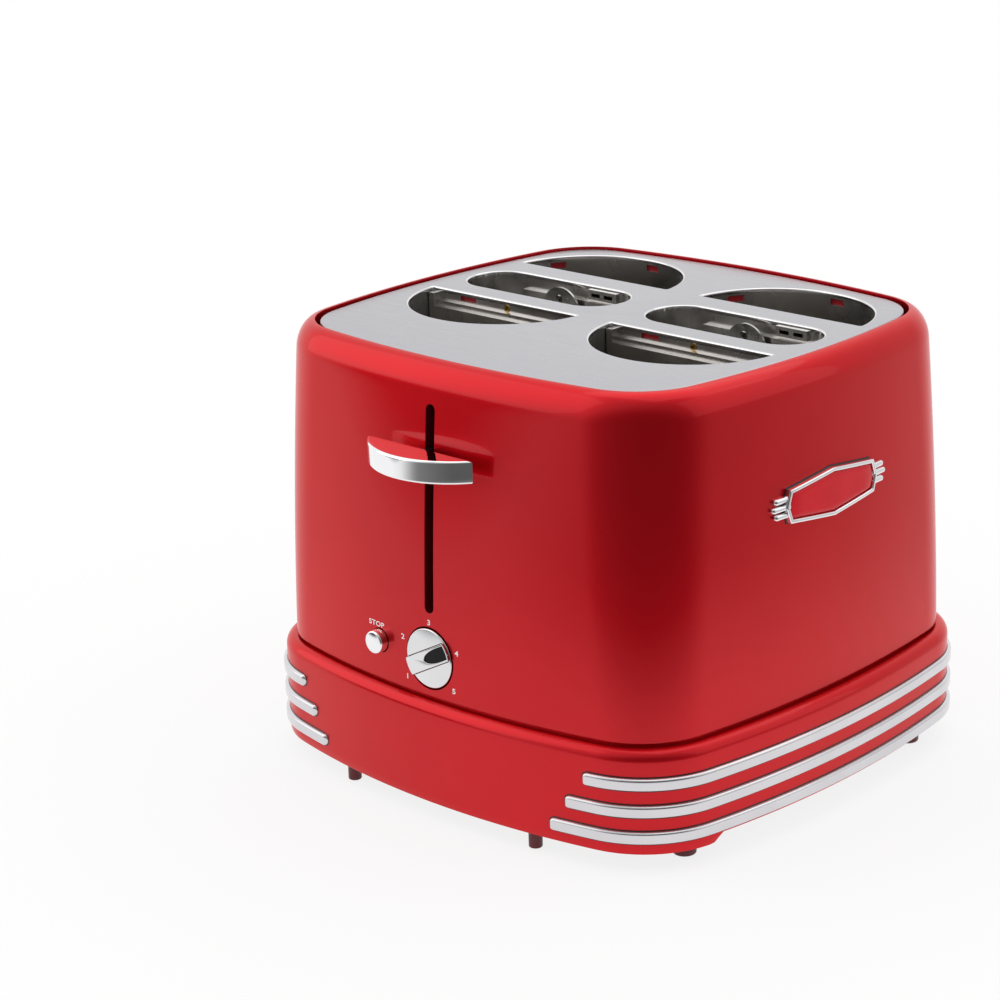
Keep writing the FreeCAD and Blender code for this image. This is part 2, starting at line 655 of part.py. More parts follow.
def chassis():
    """Four walls round the slots, with the brackets that hold the two guide rods."""
    wall = D.sheet_wall
    half = D.chassis_side
    low = (D.shelf_level, D.shelf_level + wall)
    high = (D.bracket_level, D.bracket_level + wall)
    front, rear = D.chassis_front - wall, D.chassis_rear
    node("chassis_front", joined("chassis_front_", chassis_web("chassis_front", front),
                                 shelf("front_low_shelf", (-58, 58), (-118, D.chassis_front), low),
                                 shelf("front_high_shelf", (-20, 20), (-100, D.chassis_front), high)))
    door = block("chassis_rear_door", (-D.tray_half - 1, D.tray_half + 1), (100, 120),
                 (D.floor_level - 1, D.tray_top + 4))
    node("chassis_rear", joined("chassis_rear_", chassis_web("chassis_rear", rear, door),
                                shelf("rear_low_shelf", (-20, 20), (rear, 126), low),
                                shelf("rear_high_shelf", (-20, 20), (rear, 126), high)))
    for label, side in SIDES.items():
        plate = block(f"chassis_{label}_plate", across(side, half, half + wall), (front, rear + wall),
                      (D.floor_level, D.chassis_top))
        vents = [block(f"chassis_{label}_vent{i}", across(side, half - 1, half + 3), (y, y + 24), (96, 196))
                 for i, y in enumerate((-52, -20, 12, 44, 76))]
        node(f"chassis_{label}", cut(f"chassis_{label}_", plate, *vents))
    rods = [rod(f"guide_rod{i}", "z", (0, y), D.rod_radius, (D.shelf_level, D.bracket_level + wall))
            for i, y in enumerate((D.rod_front, D.rod_rear))]
    node("guide_rods", group("guide_rods_", rods))


def front_works():
    """The electromagnet, the control board with its timer and switch, and the mains parts."""
    shelf_top = D.shelf_level + D.sheet_wall
    spot = (D.magnet_x, D.magnet_y)
    node("magnet_core", joined("magnet_core_", rod("core_pole", "z", spot, 4.0, (shelf_top, D.magnet_top)),
                               rod("core_foot", "z", spot, 7.0, (shelf_top, shelf_top + 10))))
    coil = rod("coil_solid", "z", spot, 8.5, (shelf_top + 12, D.magnet_top - 4))
    node("magnet_coil", cut("magnet_coil_", coil,
                            rod("coil_bore", "z", spot, 4.0, (shelf_top, D.magnet_top))))
    board = (-117.0, -115.4)
    sheet = block("board_sheet", (-55, 55), board, (shelf_top, 106))
    node("control_board", cut("control_board_", sheet,
                              rod("board_hole", "y", (0, D.dial_level), D.shaft_radius + 1, (-120, -110))))
    timer = block("timer_case", (-12, 12), (-127, board[0]), (D.dial_level - 12, D.dial_level + 12))
    shaft = rod("timer_bore", "y", (0, D.dial_level), D.shaft_radius + D.rod_fit, (-130, -110))
    node("timer_control", cut("timer_control_", timer, shaft))
    node("stop_switch", block("stop_switch_", (D.button_x - 5, D.button_x + 5), (-123.5, board[0]),
                              (D.button_level - 5, D.button_level + 5)))
    node("terminal_block", block("terminal_block_", (-140, -124), (-10, 30),
                                 (D.floor_level, D.floor_level + 16)))
    spot = (D.gland_x, D.gland_level)
    solid = joined("gland_solid", rod("gland_barrel", "y", spot, D.gland_radius, (129, 143)),
                   rod("gland_flange", "y", spot, D.gland_radius + 2.5, (128, 130.5)))
    node("cord_gland", cut("cord_gland_", solid, rod("gland_bore", "y", spot, D.cord_radius, (120, 150))))


def return_spring():
    """The coil that pulls the carriage up, hung from the front bracket."""
    radius = 3.4
    spot = (-14, D.rod_front)
    low, high = D.rest_level + 0.6, D.bracket_level - 0.6
    helix = DOC.addObject("Part::Helix", "spring_line")
    bind(helix, "Pitch", (high - low) / 15)
    bind(helix, "Height", high - low)
    bind(helix, "Radius", radius)
    wire = DOC.addObject("Part::Circle", "spring_wire")
    bind(wire, "Radius", 0.6)
    wire.Placement = FreeCAD.Placement(V(), FreeCAD.Rotation(V(1, 0, 0), 90))
    for item, x in ((helix, spot[0]), (wire, spot[0] + radius)):
        bind(item, "Placement.Base.x", x)
        bind(item, "Placement.Base.y", spot[1])
        bind(item, "Placement.Base.z", low)
    coil = DOC.addObject("Part::Sweep", "return_spring_")
    coil.Sections = [wire]
    coil.Spine = (helix, ["Edge1"])
    coil.Solid = True
    coil.Frenet = True
    node("return_spring", coil)


# ---------------------------------------------------------------- carriage


def carriage_spine():
    half = D.spine_width / 2
    level = (D.rest_level - D.spine_height, D.rest_level)
    bar = block("spine_bar", (-half, half), (-100, D.rod_rear), level)
    eyes = [rod(f"spine_eye{i}", "z", (0, y), D.eye_radius, level)
            for i, y in enumerate((D.rod_front, D.rod_rear))]
    tab = block("spine_tab", (-20, 0), (D.rod_front - 4, D.rod_front + 4),
                (D.rest_level - D.rest_sheet, D.rest_level))
    through = (D.rest_level - 30, D.rest_level + 5)
    bores = [rod(f"spine_bore{i}", "z", (0, y), D.rod_radius + D.rod_fit, through)
             for i, y in enumerate((D.rod_front, D.rod_rear))]
    node("carriage_spine", cut("carriage_spine_", joined("spine_solid", bar, tab, *eyes), *bores))


def bun_rest(row, label):
    """A bar with three cross fingers, which carries one bun."""
    name = f"bun_rest_{row}_{label}"
    side = SIDES[label]
    level = (D.rest_level - D.rest_sheet, D.rest_level)
    way = ROWS[row][3]
    back = D.finger_back
    arm = ARMS[row]
    half = D.arm_width / 2
    bar = block(name + "_bar", across(side, D.spine_width / 2, 104), (arm - half, arm + half), level)
    fingers = []
    for i, (x, reach) in enumerate(((40, 14), (64, 19), (88, 14))):
        span = (arm - back, arm + reach) if way > 0 else (arm - reach, arm + back)
        fingers.append(block(f"{name}_finger{i}", across(side, x - 2.5, x + 2.5), span, level))
    node(name, joined(name + "_", bar, *fingers))


def cage_lift(label):
    """The arm that carries a hot dog cage."""
    name = f"cage_lift_{label}"
    side = SIDES[label]
    middle = (D.sausage_front + D.sausage_rear) / 2
    node(name, block(name + "_", across(side, D.spine_width / 2, 102), (middle - 4.5, middle + 4.5),
                     (D.rest_level - D.rest_sheet, D.rest_level)))


def lever_arm():
    """The bent strip that joins the handle to the carriage, through the slot in the shell."""
    half = D.lever_depth / 2
    reach = block("lever_reach", (-2, 2), (-146, -100), (D.lever_level - half, D.lever_level + half))
    link = block("lever_link", (-2, 2), (-112, -100), (D.rest_level - 4, D.lever_level))
    node("lever_arm", joined("lever_arm_", reach, link))


def armature_plate():
    """The plate that the magnet holds when the carriage is down."""
    low = D.armature_level
    tab = block("armature_tab", (2, 4), (-112, -100), (D.rest_level, low + 3))
    plate = block("armature_bar", (2, D.magnet_x + 9), (-111, -96), (low, low + 3))
    node("armature_plate", joined("armature_plate_", tab, plate))


def plane_of(body, role):
    return next(item for item in body.Origin.OriginFeatures if item.Role == role)


def body_sketch(body, name, role, offset):
    sketch = body.newObject("Sketcher::SketchObject", name)
    sketch.AttachmentSupport = (plane_of(body, role), [""])
    sketch.MapMode = "FlatFace"
    bind(sketch, "AttachmentOffset.Base.z", offset)
    return sketch


def rectangle(sketch, x, y):
    """Four lines between two places along each of the sketch's axes."""
    corners = [(x[0], y[0]), (x[1], y[0]), (x[1], y[1]), (x[0], y[1])]
    spots = [V(number(a), number(b), 0) for a, b in corners]
    for i in range(4):
        sketch.addGeometry(Part.LineSegment(spots[i], spots[(i + 1) % 4]), False)
    for i in range(4):
        sketch.addConstraint(Sketcher.Constraint("Coincident", i, 2, (i + 1) % 4, 1))
        sketch.addConstraint(Sketcher.Constraint("Horizontal" if i % 2 == 0 else "Vertical", i))
    for label, line, point, places in (("low", 0, 1, (x[0], y[0])), ("high", 2, 1, (x[1], y[1]))):
        for way, place in zip("XY", places):
            dimension(sketch, label + way, ("Distance" + way, -1, 1, line, point), place)


def lever_handle():
    """A half-moon grip: one arc at the front and a straight back, with a pocket for the arm."""
    radius, back = number(D.grip_radius), number(D.grip_back)
    centre = number(D.grip_front) + radius
    half = math.sqrt(radius ** 2 - (back - centre) ** 2)
    body = DOC.addObject("PartDesign::Body", "lever_handle_")
    sketch = body_sketch(body, "handle_outline", "XY_Plane", D.lever_level - D.grip_height / 2)
    start = math.atan2(back - centre, -half)
    stop = math.atan2(back - centre, half)
    sketch.addGeometry([arc((0, centre), radius, start, stop),
                        Part.LineSegment(V(half, back, 0), V(-half, back, 0))], False)
    for places in (("Coincident", 0, 2, 1, 1), ("Coincident", 1, 2, 0, 1), ("Horizontal", 1),
                   ("PointOnObject", 0, 3, -2)):
        sketch.addConstraint(Sketcher.Constraint(*places))
    dimension(sketch, "grip_radius", ("Radius", 0), D.grip_radius)
    dimension(sketch, "grip_centre", ("DistanceY", 0, 3, -1, 1), -(D.grip_front + D.grip_radius))
    dimension(sketch, "grip_back", ("DistanceY", 1, 1, -1, 1), -D.grip_back)
    pad = body.newObject("PartDesign::Pad", "handle_pad")
    pad.Profile = sketch
    bind(pad, "Length", D.grip_height)
    DOC.recompute()
    soft = body.newObject("PartDesign::Fillet", "handle_rounding")
    soft.Base = (pad, [])
    soft.UseAllEdges = True
    soft.Radius = 1.6
    DOC.recompute()
    whole = soft.Shape.Volume
    seat = body_sketch(body, "handle_seat", "XZ_Plane", -D.grip_back)
    half_depth = D.lever_depth / 2
    rectangle(seat, (-2, 2), (D.lever_level - half_depth, D.lever_level + half_depth))
    pocket = body.newObject("PartDesign::Pocket", "handle_pocket")
    pocket.Profile = seat
    pocket.Reversed = True
    bind(pocket, "Length", 5.5)
    DOC.recompute()
    if pocket.Shape.Volume > whole - 100:
        raise RuntimeError("the handle's pocket cuts nothing")
    node("lever_handle", body)


# ---------------------------------------------------------------- cages, dial, button and tray


def cage_bends(name, side, level):
    """The two round ends of a loop of wire, each in four bends of 45 degrees."""
    middle = (D.sausage_front + D.sausage_rear) / 2
    for i, s in enumerate((-1, 1)):
        for j in range(4):
            bend = DOC.addObject("Part::Torus", f"{name}_bend{i}_{j}")
            bind(bend, "Radius1", D.cage_radius)
            bind(bend, "Radius2", D.cage_wire)
            bend.Angle3 = 45
            bend.Placement = FreeCAD.Placement(V(), FreeCAD.Rotation(V(0, 0, 1), 45 * j - 90 * s))
            bind(bend, "Placement.Base.x", SLOT_MIDDLE * side + D.cage_half * s)
            bind(bend, "Placement.Base.y", middle)
            bind(bend, "Placement.Base.z", level)
            yield bend


def cage_comb(name, side, y, *extra):
    """One side of a cage: the two straight runs, with five posts between them."""
    wire = D.cage_wire
    centre = SLOT_MIDDLE * side
    runs = [rod(f"{name}_run{i}", "x", (y, level), wire, (centre - D.cage_half, centre + D.cage_half))
            for i, level in enumerate((D.cage_base, D.cage_ring))]
    posts = [rod(f"{name}_post{i}", "z", (centre + x, y), wire * 0.9, (D.cage_base, D.cage_ring))
             for i, x in enumerate(CAGE_POSTS)]
    return joined(name, *runs, *posts, *extra)


def cage_tab(name, side, y):
    """The round tab that a cage is pulled up by, with a hole through it."""
    centre = SLOT_MIDDLE * side + D.cage_tab_x
    radius = D.cage_tab_radius
    sheet = (y - 0.7, y + 0.7)
    crown = D.cage_tab - radius
    solid = joined(name + "_solid", rod(name + "_round", "y", (centre, crown), radius, sheet),
                   block(name + "_leg", (centre - radius, centre + radius), sheet, (D.cage_ring, crown)))
    through = (y - 5, y + 5)
    hole = rod(name + "_hole", "y", (centre - 1.0, D.cage_tab - 6.5), D.cage_tab_hole, through)
    trim = block(name + "_trim", (centre - 20, centre + 20), through, (D.cage_ring - 10, D.cage_ring))
    return cut(name, solid, hole, trim)


CAGE_POSTS = (-33, -16.5, 0, 16.5, 33)


def hot_dog_cage(label):
    """A lift-out wire basket with a tab to pull it by."""
    name = f"hot_dog_cage_{label}"
    side = SIDES[label]
    middle = (D.sausage_front + D.sausage_rear) / 2
    front, rear = middle - D.cage_radius, middle + D.cage_radius
    combs = [cage_comb(name + "_front", side, front),
             cage_comb(name + "_rear", side, rear, cage_tab(name + "_tab", side, rear))]
    wires = list(cage_bends(name + "_top", side, D.cage_ring))
    wires += cage_bends(name + "_base", side, D.cage_base)
    for i, x in enumerate(CAGE_POSTS):
        spot = (SLOT_MIDDLE * side + x, D.cage_base)
        cross = rod(f"{name}_wire{i}", "y", spot, D.cage_wire * 0.9, (front, rear))
        wires.append(cut(f"{name}_cross{i}", cross, *combs))
    node(name, group(name + "_", [*combs, *wires]))


def dial():
    """A flat disc with a slanted grip bar, on the timer's shaft."""
    face = D.dial_face
    disc = rod("dial_disc", "y", (0, D.dial_level), D.dial_radius, (face, face + 8))
    bar = block("dial_bar", (-D.dial_radius, D.dial_radius), (face - 1.3, face + 1),
                (D.dial_level - 4.8, D.dial_level + 4.8))
    edge = rod("dial_grip_edge", "y", (0, D.dial_level), D.dial_radius - 0.4, (face - 3, face + 3))
    scoop = DOC.addObject("Part::Ellipsoid", "dial_scoop")
    for side, size in (("Radius1", 3.9), ("Radius2", 15.3), ("Radius3", 1.9), ("Placement.Base.x", 13.0),
                       ("Placement.Base.y", face - 1.3), ("Placement.Base.z", D.dial_level)):
        bind(scoop, side, size)
    tilted = DOC.addObject("Part::Compound", "dial_grip_tilted")
    tilted.Links = [cut("dial_scooped", common("dial_grip", bar, edge), scoop)]
    tilt = FreeCAD.Rotation(V(0, 1, 0), -27.6)
    pivot = V(0, 0, number(D.dial_level))
    tilted.Placement = FreeCAD.Placement(pivot - tilt.multVec(pivot), tilt)
    seat = rod("dial_seat", "y", (0, D.dial_level), D.shaft_radius, (face + 3, face + 9))
    node("dial_knob", cut("dial_knob_", joined("dial_solid", disc, tilted), seat))
    node("dial_shaft", rod("dial_shaft_", "y", (0, D.dial_level), D.shaft_radius, (face + 3, -116)))


def stop_button():
    """A round cap on a stem, held in by its flange behind the shell."""
    spot = (D.button_x, D.button_level)
    cap = rounded("button_cap", rod("button_solid", "y", spot, D.button_radius, (D.button_front, -130)), 1.0,
                  lambda edge: edge.BoundBox.YMax < number(D.button_front) + 0.1)
    flange = rod("button_flange", "y", spot, D.button_radius + 2, (-133.5, -131.5))
    stem = rod("button_stem", "y", spot, 2.0, (-130.5, -127))
    node("stop_button", joined("stop_button_", cap, flange, stem))


def crumb_tray():
    """A pan that slides in from the rear, its end panel flush with the base, with a pull lip."""
    half = D.tray_half
    reach = D.base_half_y + 5
    pan = block("tray_solid", (-half, half), (D.tray_front, reach), (D.tray_floor, D.tray_top))
    hollow = common("tray_hollow", raised("tray_hollow_bound", "base", -4, D.tray_floor + 1, D.tray_top + 1),
                    block("tray_hollow_block", (1 - half, half - 1), (D.tray_front + 1, reach),
                          (D.tray_floor + 1, D.tray_top + 1)))
    wall = raised("tray_wall_outer", "base", 0, D.door_low + 0.5, D.door_high - 0.5)
    inner = raised("tray_wall_inner", "base", -D.base_wall, D.door_low, D.door_high)
    door = block("tray_door", (0.5 - D.door_half, D.door_half - 0.5), (120, 160), (D.door_low, D.door_high))
    panel = common("tray_panel", cut("tray_wall", wall, inner), door)
    kept = common("tray_kept", cut("tray_pan", pan, hollow), raised("tray_bound", "base", -1, 10, 40))
    pull = rounded("tray_pull_", block("tray_pull_solid", (-30, 30), (144, D.tray_pull),
                                       (D.tray_top, D.door_high - 0.5)),
                   1.0, lambda edge: edge.BoundBox.YMin > 150)
    node("crumb_tray", joined("crumb_tray_", kept, panel, pull))


def foot(name, spot, radius, rounding, top):
    return rounded(name + "_round", rod(name, "z", spot, radius, (0, top)), rounding,
                   lambda edge: edge.BoundBox.ZMax < 0.01)


def feet():
    """Two small front feet, four corner feet and the four screws of the bottom plate."""
    under = D.floor_level - 1.2
    node("front_feet", group("front_feet_", [foot(f"peg{i}", (D.peg_x * s, D.peg_y), 3.5, 0.8, under)
                                             for i, s in enumerate((-1, 1))]))
    corners = [(D.foot_x * sx, D.foot_y * sy) for sx in (-1, 1) for sy in (-1, 1)]
    node("corner_feet", group("corner_feet_", [foot(f"foot{i}", spot, 6.0, 1.2, under)
                                               for i, spot in enumerate(corners)]))
    screws = []
    for i, spot in enumerate(screw_spots()):
        screws.append(joined(f"screw{i}", rod(f"screw_head{i}", "z", spot, 3.2, (under - 2, under)),
                             rod(f"screw_shank{i}", "z", spot, 1.45, (under - 1, D.floor_level + 12))))
    node("base_screws", group("base_screws_", screws))


# ---------------------------------------------------------------- the whole toaster


def build():
    base_housing()
    bottom_plate()
    outer_shell()
    top_plate()
    for label in SIDES:
        for level_name in ("upper", "middle", "lower"):
            trim_strip(label, level_name)
    badge()
    for row in ROWS:
        for label in SIDES:
            bun_chute(row, label)
            guard_panel(row, label)
            bun_rest(row, label)
    panel_eyelets()
    for label in SIDES:
        hot_dog_guide(label)
        cage_lift(label)
        hot_dog_cage(label)
    heaters()
    chassis()
    front_works()
    return_spring()
    carriage_spine()
    lever_arm()
    lever_handle()
    armature_plate()
    dial()
    stop_button()
    crumb_tray()
    feet()
    DOC.recompute()


def export():
    """Checks every object, then writes each node's shape to its own file."""
    for item in DOC.Objects:
        if any(word in item.State for word in ("Invalid", "Error")):
            raise RuntimeError(f"{item.Label} failed: {item.State}")
    for item in NODES:
        if item.Shape.isNull() or not item.Shape.isValid():
            raise RuntimeError(f"{item.Label} has no valid shape")
    os.makedirs("parts", exist_ok=True)
    for item in NODES:
        item.Shape.exportStep(f"parts/{item.Label}.step")
        box = item.Shape.BoundBox
        solids, volume = len(item.Shape.Solids), item.Shape.Volume / 1000
        print(f"{item.Label:28s} solids {solids:3d} volume {volume:8.2f} cm3"
              f"  x {box.XMin:7.1f} {box.XMax:7.1f}  y {box.YMin:7.1f} {box.YMax:7.1f}"
              f"  z {box.ZMin:6.1f} {box.ZMax:6.1f}")


build()
export()
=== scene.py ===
import math
import bmesh
import bpy
from mathutils import Matrix, Vector


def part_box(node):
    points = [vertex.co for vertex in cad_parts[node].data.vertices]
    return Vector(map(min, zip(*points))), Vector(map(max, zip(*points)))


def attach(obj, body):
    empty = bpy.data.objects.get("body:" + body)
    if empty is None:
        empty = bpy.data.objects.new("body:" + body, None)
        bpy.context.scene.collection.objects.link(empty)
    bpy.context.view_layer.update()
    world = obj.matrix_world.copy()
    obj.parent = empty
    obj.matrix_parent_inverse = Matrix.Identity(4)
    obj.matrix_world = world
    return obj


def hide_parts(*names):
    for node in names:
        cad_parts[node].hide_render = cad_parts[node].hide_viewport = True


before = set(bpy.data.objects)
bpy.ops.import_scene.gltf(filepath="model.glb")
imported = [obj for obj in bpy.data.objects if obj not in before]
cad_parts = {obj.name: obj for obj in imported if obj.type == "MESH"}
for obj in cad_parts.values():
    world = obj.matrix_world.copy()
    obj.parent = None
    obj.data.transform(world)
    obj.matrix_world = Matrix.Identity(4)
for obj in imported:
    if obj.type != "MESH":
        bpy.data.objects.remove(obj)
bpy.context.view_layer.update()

MM = 0.001
SIDES = {"left": -1, "right": 1}
ROWS = ("front", "rear")

# ---------------------------------------------------------------- sizes, in millimetres

OUTLINES = {  # half X, half Y, radius of the front and rear arcs, of the side arcs, of the corners
    "plate": (127.6, 118.1, 612.0, 517.0, 35.4),
    "seam": (143.7, 139.9, 454.0, 602.0, 43.5),
    "mid": (143.6, 137.1, 520.0, 580.0, 50.0),
    "rim": (140.3, 130.6, 600.0, 560.0, 52.0),
    "base": (150.9, 145.6, 464.0, 544.0, 50.0),
}
SEAM_Z, MID_Z, RIM_Z = 64.8, 140.0, 234.5
BASE_TOP, BASE_BOTTOM, BASE_STEP = 63.2, 9.5, 13.9
BASE_WALL, SHEET = 3.0, 1.2
BASE_SHOULDER, BASE_DECK, BASE_COLLAR = 6.0, BASE_TOP - 3.2, BASE_TOP + 4.4
SIDE_DROP, DROP_RUN = -91.0, 6.0  # where the base's lower edge starts to rise, and over how much of Y
DOOR_HALF, DOOR_LOW, DOOR_HIGH = 108, 16, 30
GLAND_X, GLAND_Z, GLAND_RADIUS = -90, 44, 6.0
PLATE_Z, PLATE_GAP, RIM_LIP = 233.5, 2.5, 6.5
RIM_IN, RIM_DOWN = 10.0, 14.0
SLOT_NEAR, SLOT_FAR = 11.5, 116.5
SLOT_MIDDLE = (SLOT_NEAR + SLOT_FAR) / 2
BUN_SLOTS = {"front": (-9.4, 52.6, -12.5, -1), "rear": (51.6, 52.9, 58.0, 1)}
SAUSAGE_FRONT, SAUSAGE_REAR = 2.5, 40.5
SLOT_ROLL, SLOT_FOLD, SLOT_SHEET = 0.9, 2.4, 0.8
BUN_CORNER = 1.6
STRIPS = {"upper": (46.5, 97.4), "middle": (32.5, 87.7), "lower": (18.85, 78.7)}
STRIP_HALF = 3.3
STRIP_REAR = 114.0
LEVER_LOW, LEVER_HIGH, LEVER_WIDTH = 108.4, 214.9, 6.2
LEVER_MIDDLE, LEVER_END = (LEVER_LOW + LEVER_HIGH) / 2, LEVER_WIDTH / 2
LEVER_HALF = (LEVER_HIGH - LEVER_LOW) / 2 - LEVER_END
DIAL_GAP, BUTTON_GAP = 0.8, 0.5
FRONT_CUT = (-150, -120)  # the reach along Y of what cuts the shell's front
DIAL_Z, DIAL_RADIUS, DIAL_FACE = 84.8, 15.6, -140.0
BUTTON_X, BUTTON_Z, BUTTON_RADIUS, BUTTON_FRONT = -36.6, 85.4, 6.0, -143.2
GRIP_RADIUS, GRIP_BACK, GRIP_CENTRE, GRIP_ROUND = 45.6, -140.6, -113.0, 1.4
BADGE_Y, BADGE_Z, BADGE_BAR, BADGE_PITCH = -1.4, 167.0, 1.6, 3.9
BADGE_CORNERS = ((36.0, 0.0), (33.0, 8.4), (0.0, 12.2))

# ---------------------------------------------------------------- surroundings

# The world darkens in three places, and each has its direction from the toaster, the span over which it changes,
# and its brightness at both ends of that span. The span is one of the dot product with that direction, or for the
# screen of the distance from it.
ROOM = ((0.93, -0.37, 0.0), (-0.45, 0.80), (1.0, 0.34))
SCREEN = ((-0.694, -0.709, -0.08), (0.18, 0.32), (0.10, 1.0))
SCREEN_SQUASH = (1.0, 1.0, 1.75)
CORNER = ((0.60, -0.70, -0.38), (0.30, 0.72), (1.0, 0.30))
FLOOR_REACH, FLOOR_SIDES, FLOOR_FADE = 0.64, 96, (0.28, 0.62)  # in metres
FLOOR_GLOW = 0.8

# ---------------------------------------------------------------- shader node helpers


def new_node(tree, kind, operation=None, **values):
    """A shader node; each value goes to the socket of that name, with _ for a space."""
    item = tree.nodes.new("ShaderNode" + kind)
    if operation:
        item.operation = operation
    for socket, value in values.items():
        item.inputs[socket.replace("_", " ")].default_value = value
    return item


def math_value(tree, operation, first, second):
    """Two values joined by a Math node; the second may be a plain number."""
    item = new_node(tree, "Math", operation)
    tree.links.new(first, item.inputs[0])
    if isinstance(second, float):
        item.inputs[1].default_value = second
    else:
        tree.links.new(second, item.inputs[1])
    return item.outputs[0]


def vector_value(tree, operation, source, other=(0, 0, 0)):
    """A vector measured, or joined with a constant one."""
    item = new_node(tree, "VectorMath", operation)
    item.inputs[1].default_value = other
    tree.links.new(source, item.inputs[0])
    return item.outputs["Value" if operation in ("DOT_PRODUCT", "LENGTH") else "Vector"]


def mapped(tree, value, span, levels=(0.0, 1.0), shape="LINEAR"):
    """Goes from one level to the other while the value crosses the span, and stays level outside it."""
    item = new_node(tree, "MapRange", From_Min=span[0], From_Max=span[1], To_Min=levels[0], To_Max=levels[1])
    item.interpolation_type = shape
    tree.links.new(value, item.inputs["Value"])
    return item.outputs[0]


def mixed_shader(tree, share, first, second):
    item = new_node(tree, "MixShader")
    for source, socket in zip((share, first, second), item.inputs):
        tree.links.new(source, socket)
    return item.outputs[0]


# ---------------------------------------------------------------- camera, floor and light


def make_camera():
    """The photograph's view: a long lens, from the front right and above."""
    azimuth, elevation, roll = math.radians(44.237), math.radians(17.917), math.radians(-1.676)
    distance, focal_px, frame_px, sensor = 1474.37, 2800.23, 1000.0, 36.0
    aim_right, aim_up = -59.8, 134.315
    back = Vector((math.sin(azimuth) * math.cos(elevation), -math.cos(azimuth) * math.cos(elevation),
                   math.sin(elevation)))
    level = Vector((math.cos(azimuth), math.sin(azimuth), 0))
    up = back.cross(level)
    right = level * math.cos(roll) + up * math.sin(roll)
    upward = up * math.cos(roll) - level * math.sin(roll)
    target = level * aim_right + Vector((0, 0, aim_up))
    camera = bpy.data.objects.new("camera", bpy.data.cameras.new("camera"))
    bpy.context.scene.collection.objects.link(camera)
    turn = Matrix((right, upward, back)).transposed()
    camera.matrix_world = Matrix.Translation((target + back * distance) * MM) @ turn.to_4x4()
    camera.data.sensor_width = sensor
    camera.data.lens = focal_px / frame_px * sensor
    camera.data.clip_start, camera.data.clip_end = 0.05, 20.0
    bpy.context.scene.camera = camera


def area_light(name, place, aim, size, power):
    """A rectangular lamp, in metres and watts, turned towards aim."""
    lamp = bpy.data.lights.new(name, "AREA")
    lamp.shape = "RECTANGLE"
    lamp.size, lamp.size_y = size
    lamp.energy = power
    item = bpy.data.objects.new(name, lamp)
    bpy.context.scene.collection.objects.link(item)
    item.location = Vector(place)
    item.rotation_euler = (Vector(aim) - Vector(place)).to_track_quat("-Z", "Y").to_euler()
    return item


def seen_share(tree):
    """1 for rays from the camera and for mirrored or see-through rays, 0 for the light on the object."""
    path = new_node(tree, "LightPath")
    share = path.outputs["Is Camera Ray"]
    for ray in ("Is Glossy Ray", "Is Transmission Ray"):
        share = math_value(tree, "MAXIMUM", share, path.outputs[ray])
    return share


def make_world():
    """A white studio for the camera; reflections see it darken at the right, at the near corner and at a screen."""
    world = bpy.data.worlds.new("studio")
    bpy.context.scene.world = world
    world.use_nodes = True
    tree = world.node_tree
    tree.nodes.clear()
    place = new_node(tree, "TexCoord").outputs["Generated"]

    way, span, levels = ROOM
    room = mapped(tree, vector_value(tree, "DOT_PRODUCT", place, way), span, levels)
    way, span, levels = SCREEN
    away = vector_value(tree, "MULTIPLY", vector_value(tree, "SUBTRACT", place, way), SCREEN_SQUASH)
    screen = mapped(tree, vector_value(tree, "LENGTH", away), span, levels)
    way, span, levels = CORNER
    corner = mapped(tree, vector_value(tree, "DOT_PRODUCT", place, way), span, levels, "SMOOTHSTEP")
    dimmed = math_value(tree, "MULTIPLY", math_value(tree, "MULTIPLY", room, screen), corner)

    camera_ray = new_node(tree, "LightPath").outputs["Is Camera Ray"]
    seen = new_node(tree, "Background", Color=(1, 1, 1, 1))
    tree.links.new(math_value(tree, "MAXIMUM", dimmed, camera_ray), seen.inputs["Strength"])
    lit = new_node(tree, "Background", Color=(0.8, 0.8, 0.8, 1))
    mix = mixed_shader(tree, seen_share(tree), lit.outputs[0], seen.outputs[0])
    tree.links.new(mix, new_node(tree, "OutputWorld").inputs["Surface"])


def make_floor():
    """A round white table top that keeps the toaster's shadow and fades out towards its rim."""
    mesh = bpy.data.meshes.new("floor")
    rim = [(x, y, 0) for x, y in circle_points((0, 0), FLOOR_REACH, FLOOR_SIDES)]
    mesh.from_pydata(rim, [], [tuple(range(FLOOR_SIDES))])
    floor = bpy.data.objects.new("floor", mesh)
    bpy.context.scene.collection.objects.link(floor)
    paint = Paint("floor", base_color=(0.92, 0.92, 0.92, 1), roughness=0.8, specular_ior_level=0.2)
    tree = paint.tree
    glow = math_value(tree, "MULTIPLY", seen_share(tree), FLOOR_GLOW)
    top = mixed_shader(tree, glow, paint.shader.outputs[0], new_node(tree, "Emission").outputs[0])
    away = vector_value(tree, "LENGTH", new_node(tree, "TexCoord").outputs["Object"])
    fade = mapped(tree, away, FLOOR_FADE, shape="SMOOTHSTEP")
    faded = mixed_shader(tree, fade, top, new_node(tree, "BsdfTransparent").outputs[0])
    tree.links.new(faded, tree.nodes["Material Output"].inputs["Surface"])
    mesh.materials.append(paint.material)


def make_lights():
    """Three large soft lamps."""
    area_light("key_left", (-1.5, -1.3, 1.3), (0, 0, 0.1), (2.4, 2.4), 10)
    area_light("fill_right", (1.7, 0.9, 1.1), (0, 0, 0.1), (1.8, 1.8), 4)
    area_light("top", (0.0, 0.5, 1.9), (0, 0, 0.1), (2.2, 2.2), 10)


# ---------------------------------------------------------------- material helpers


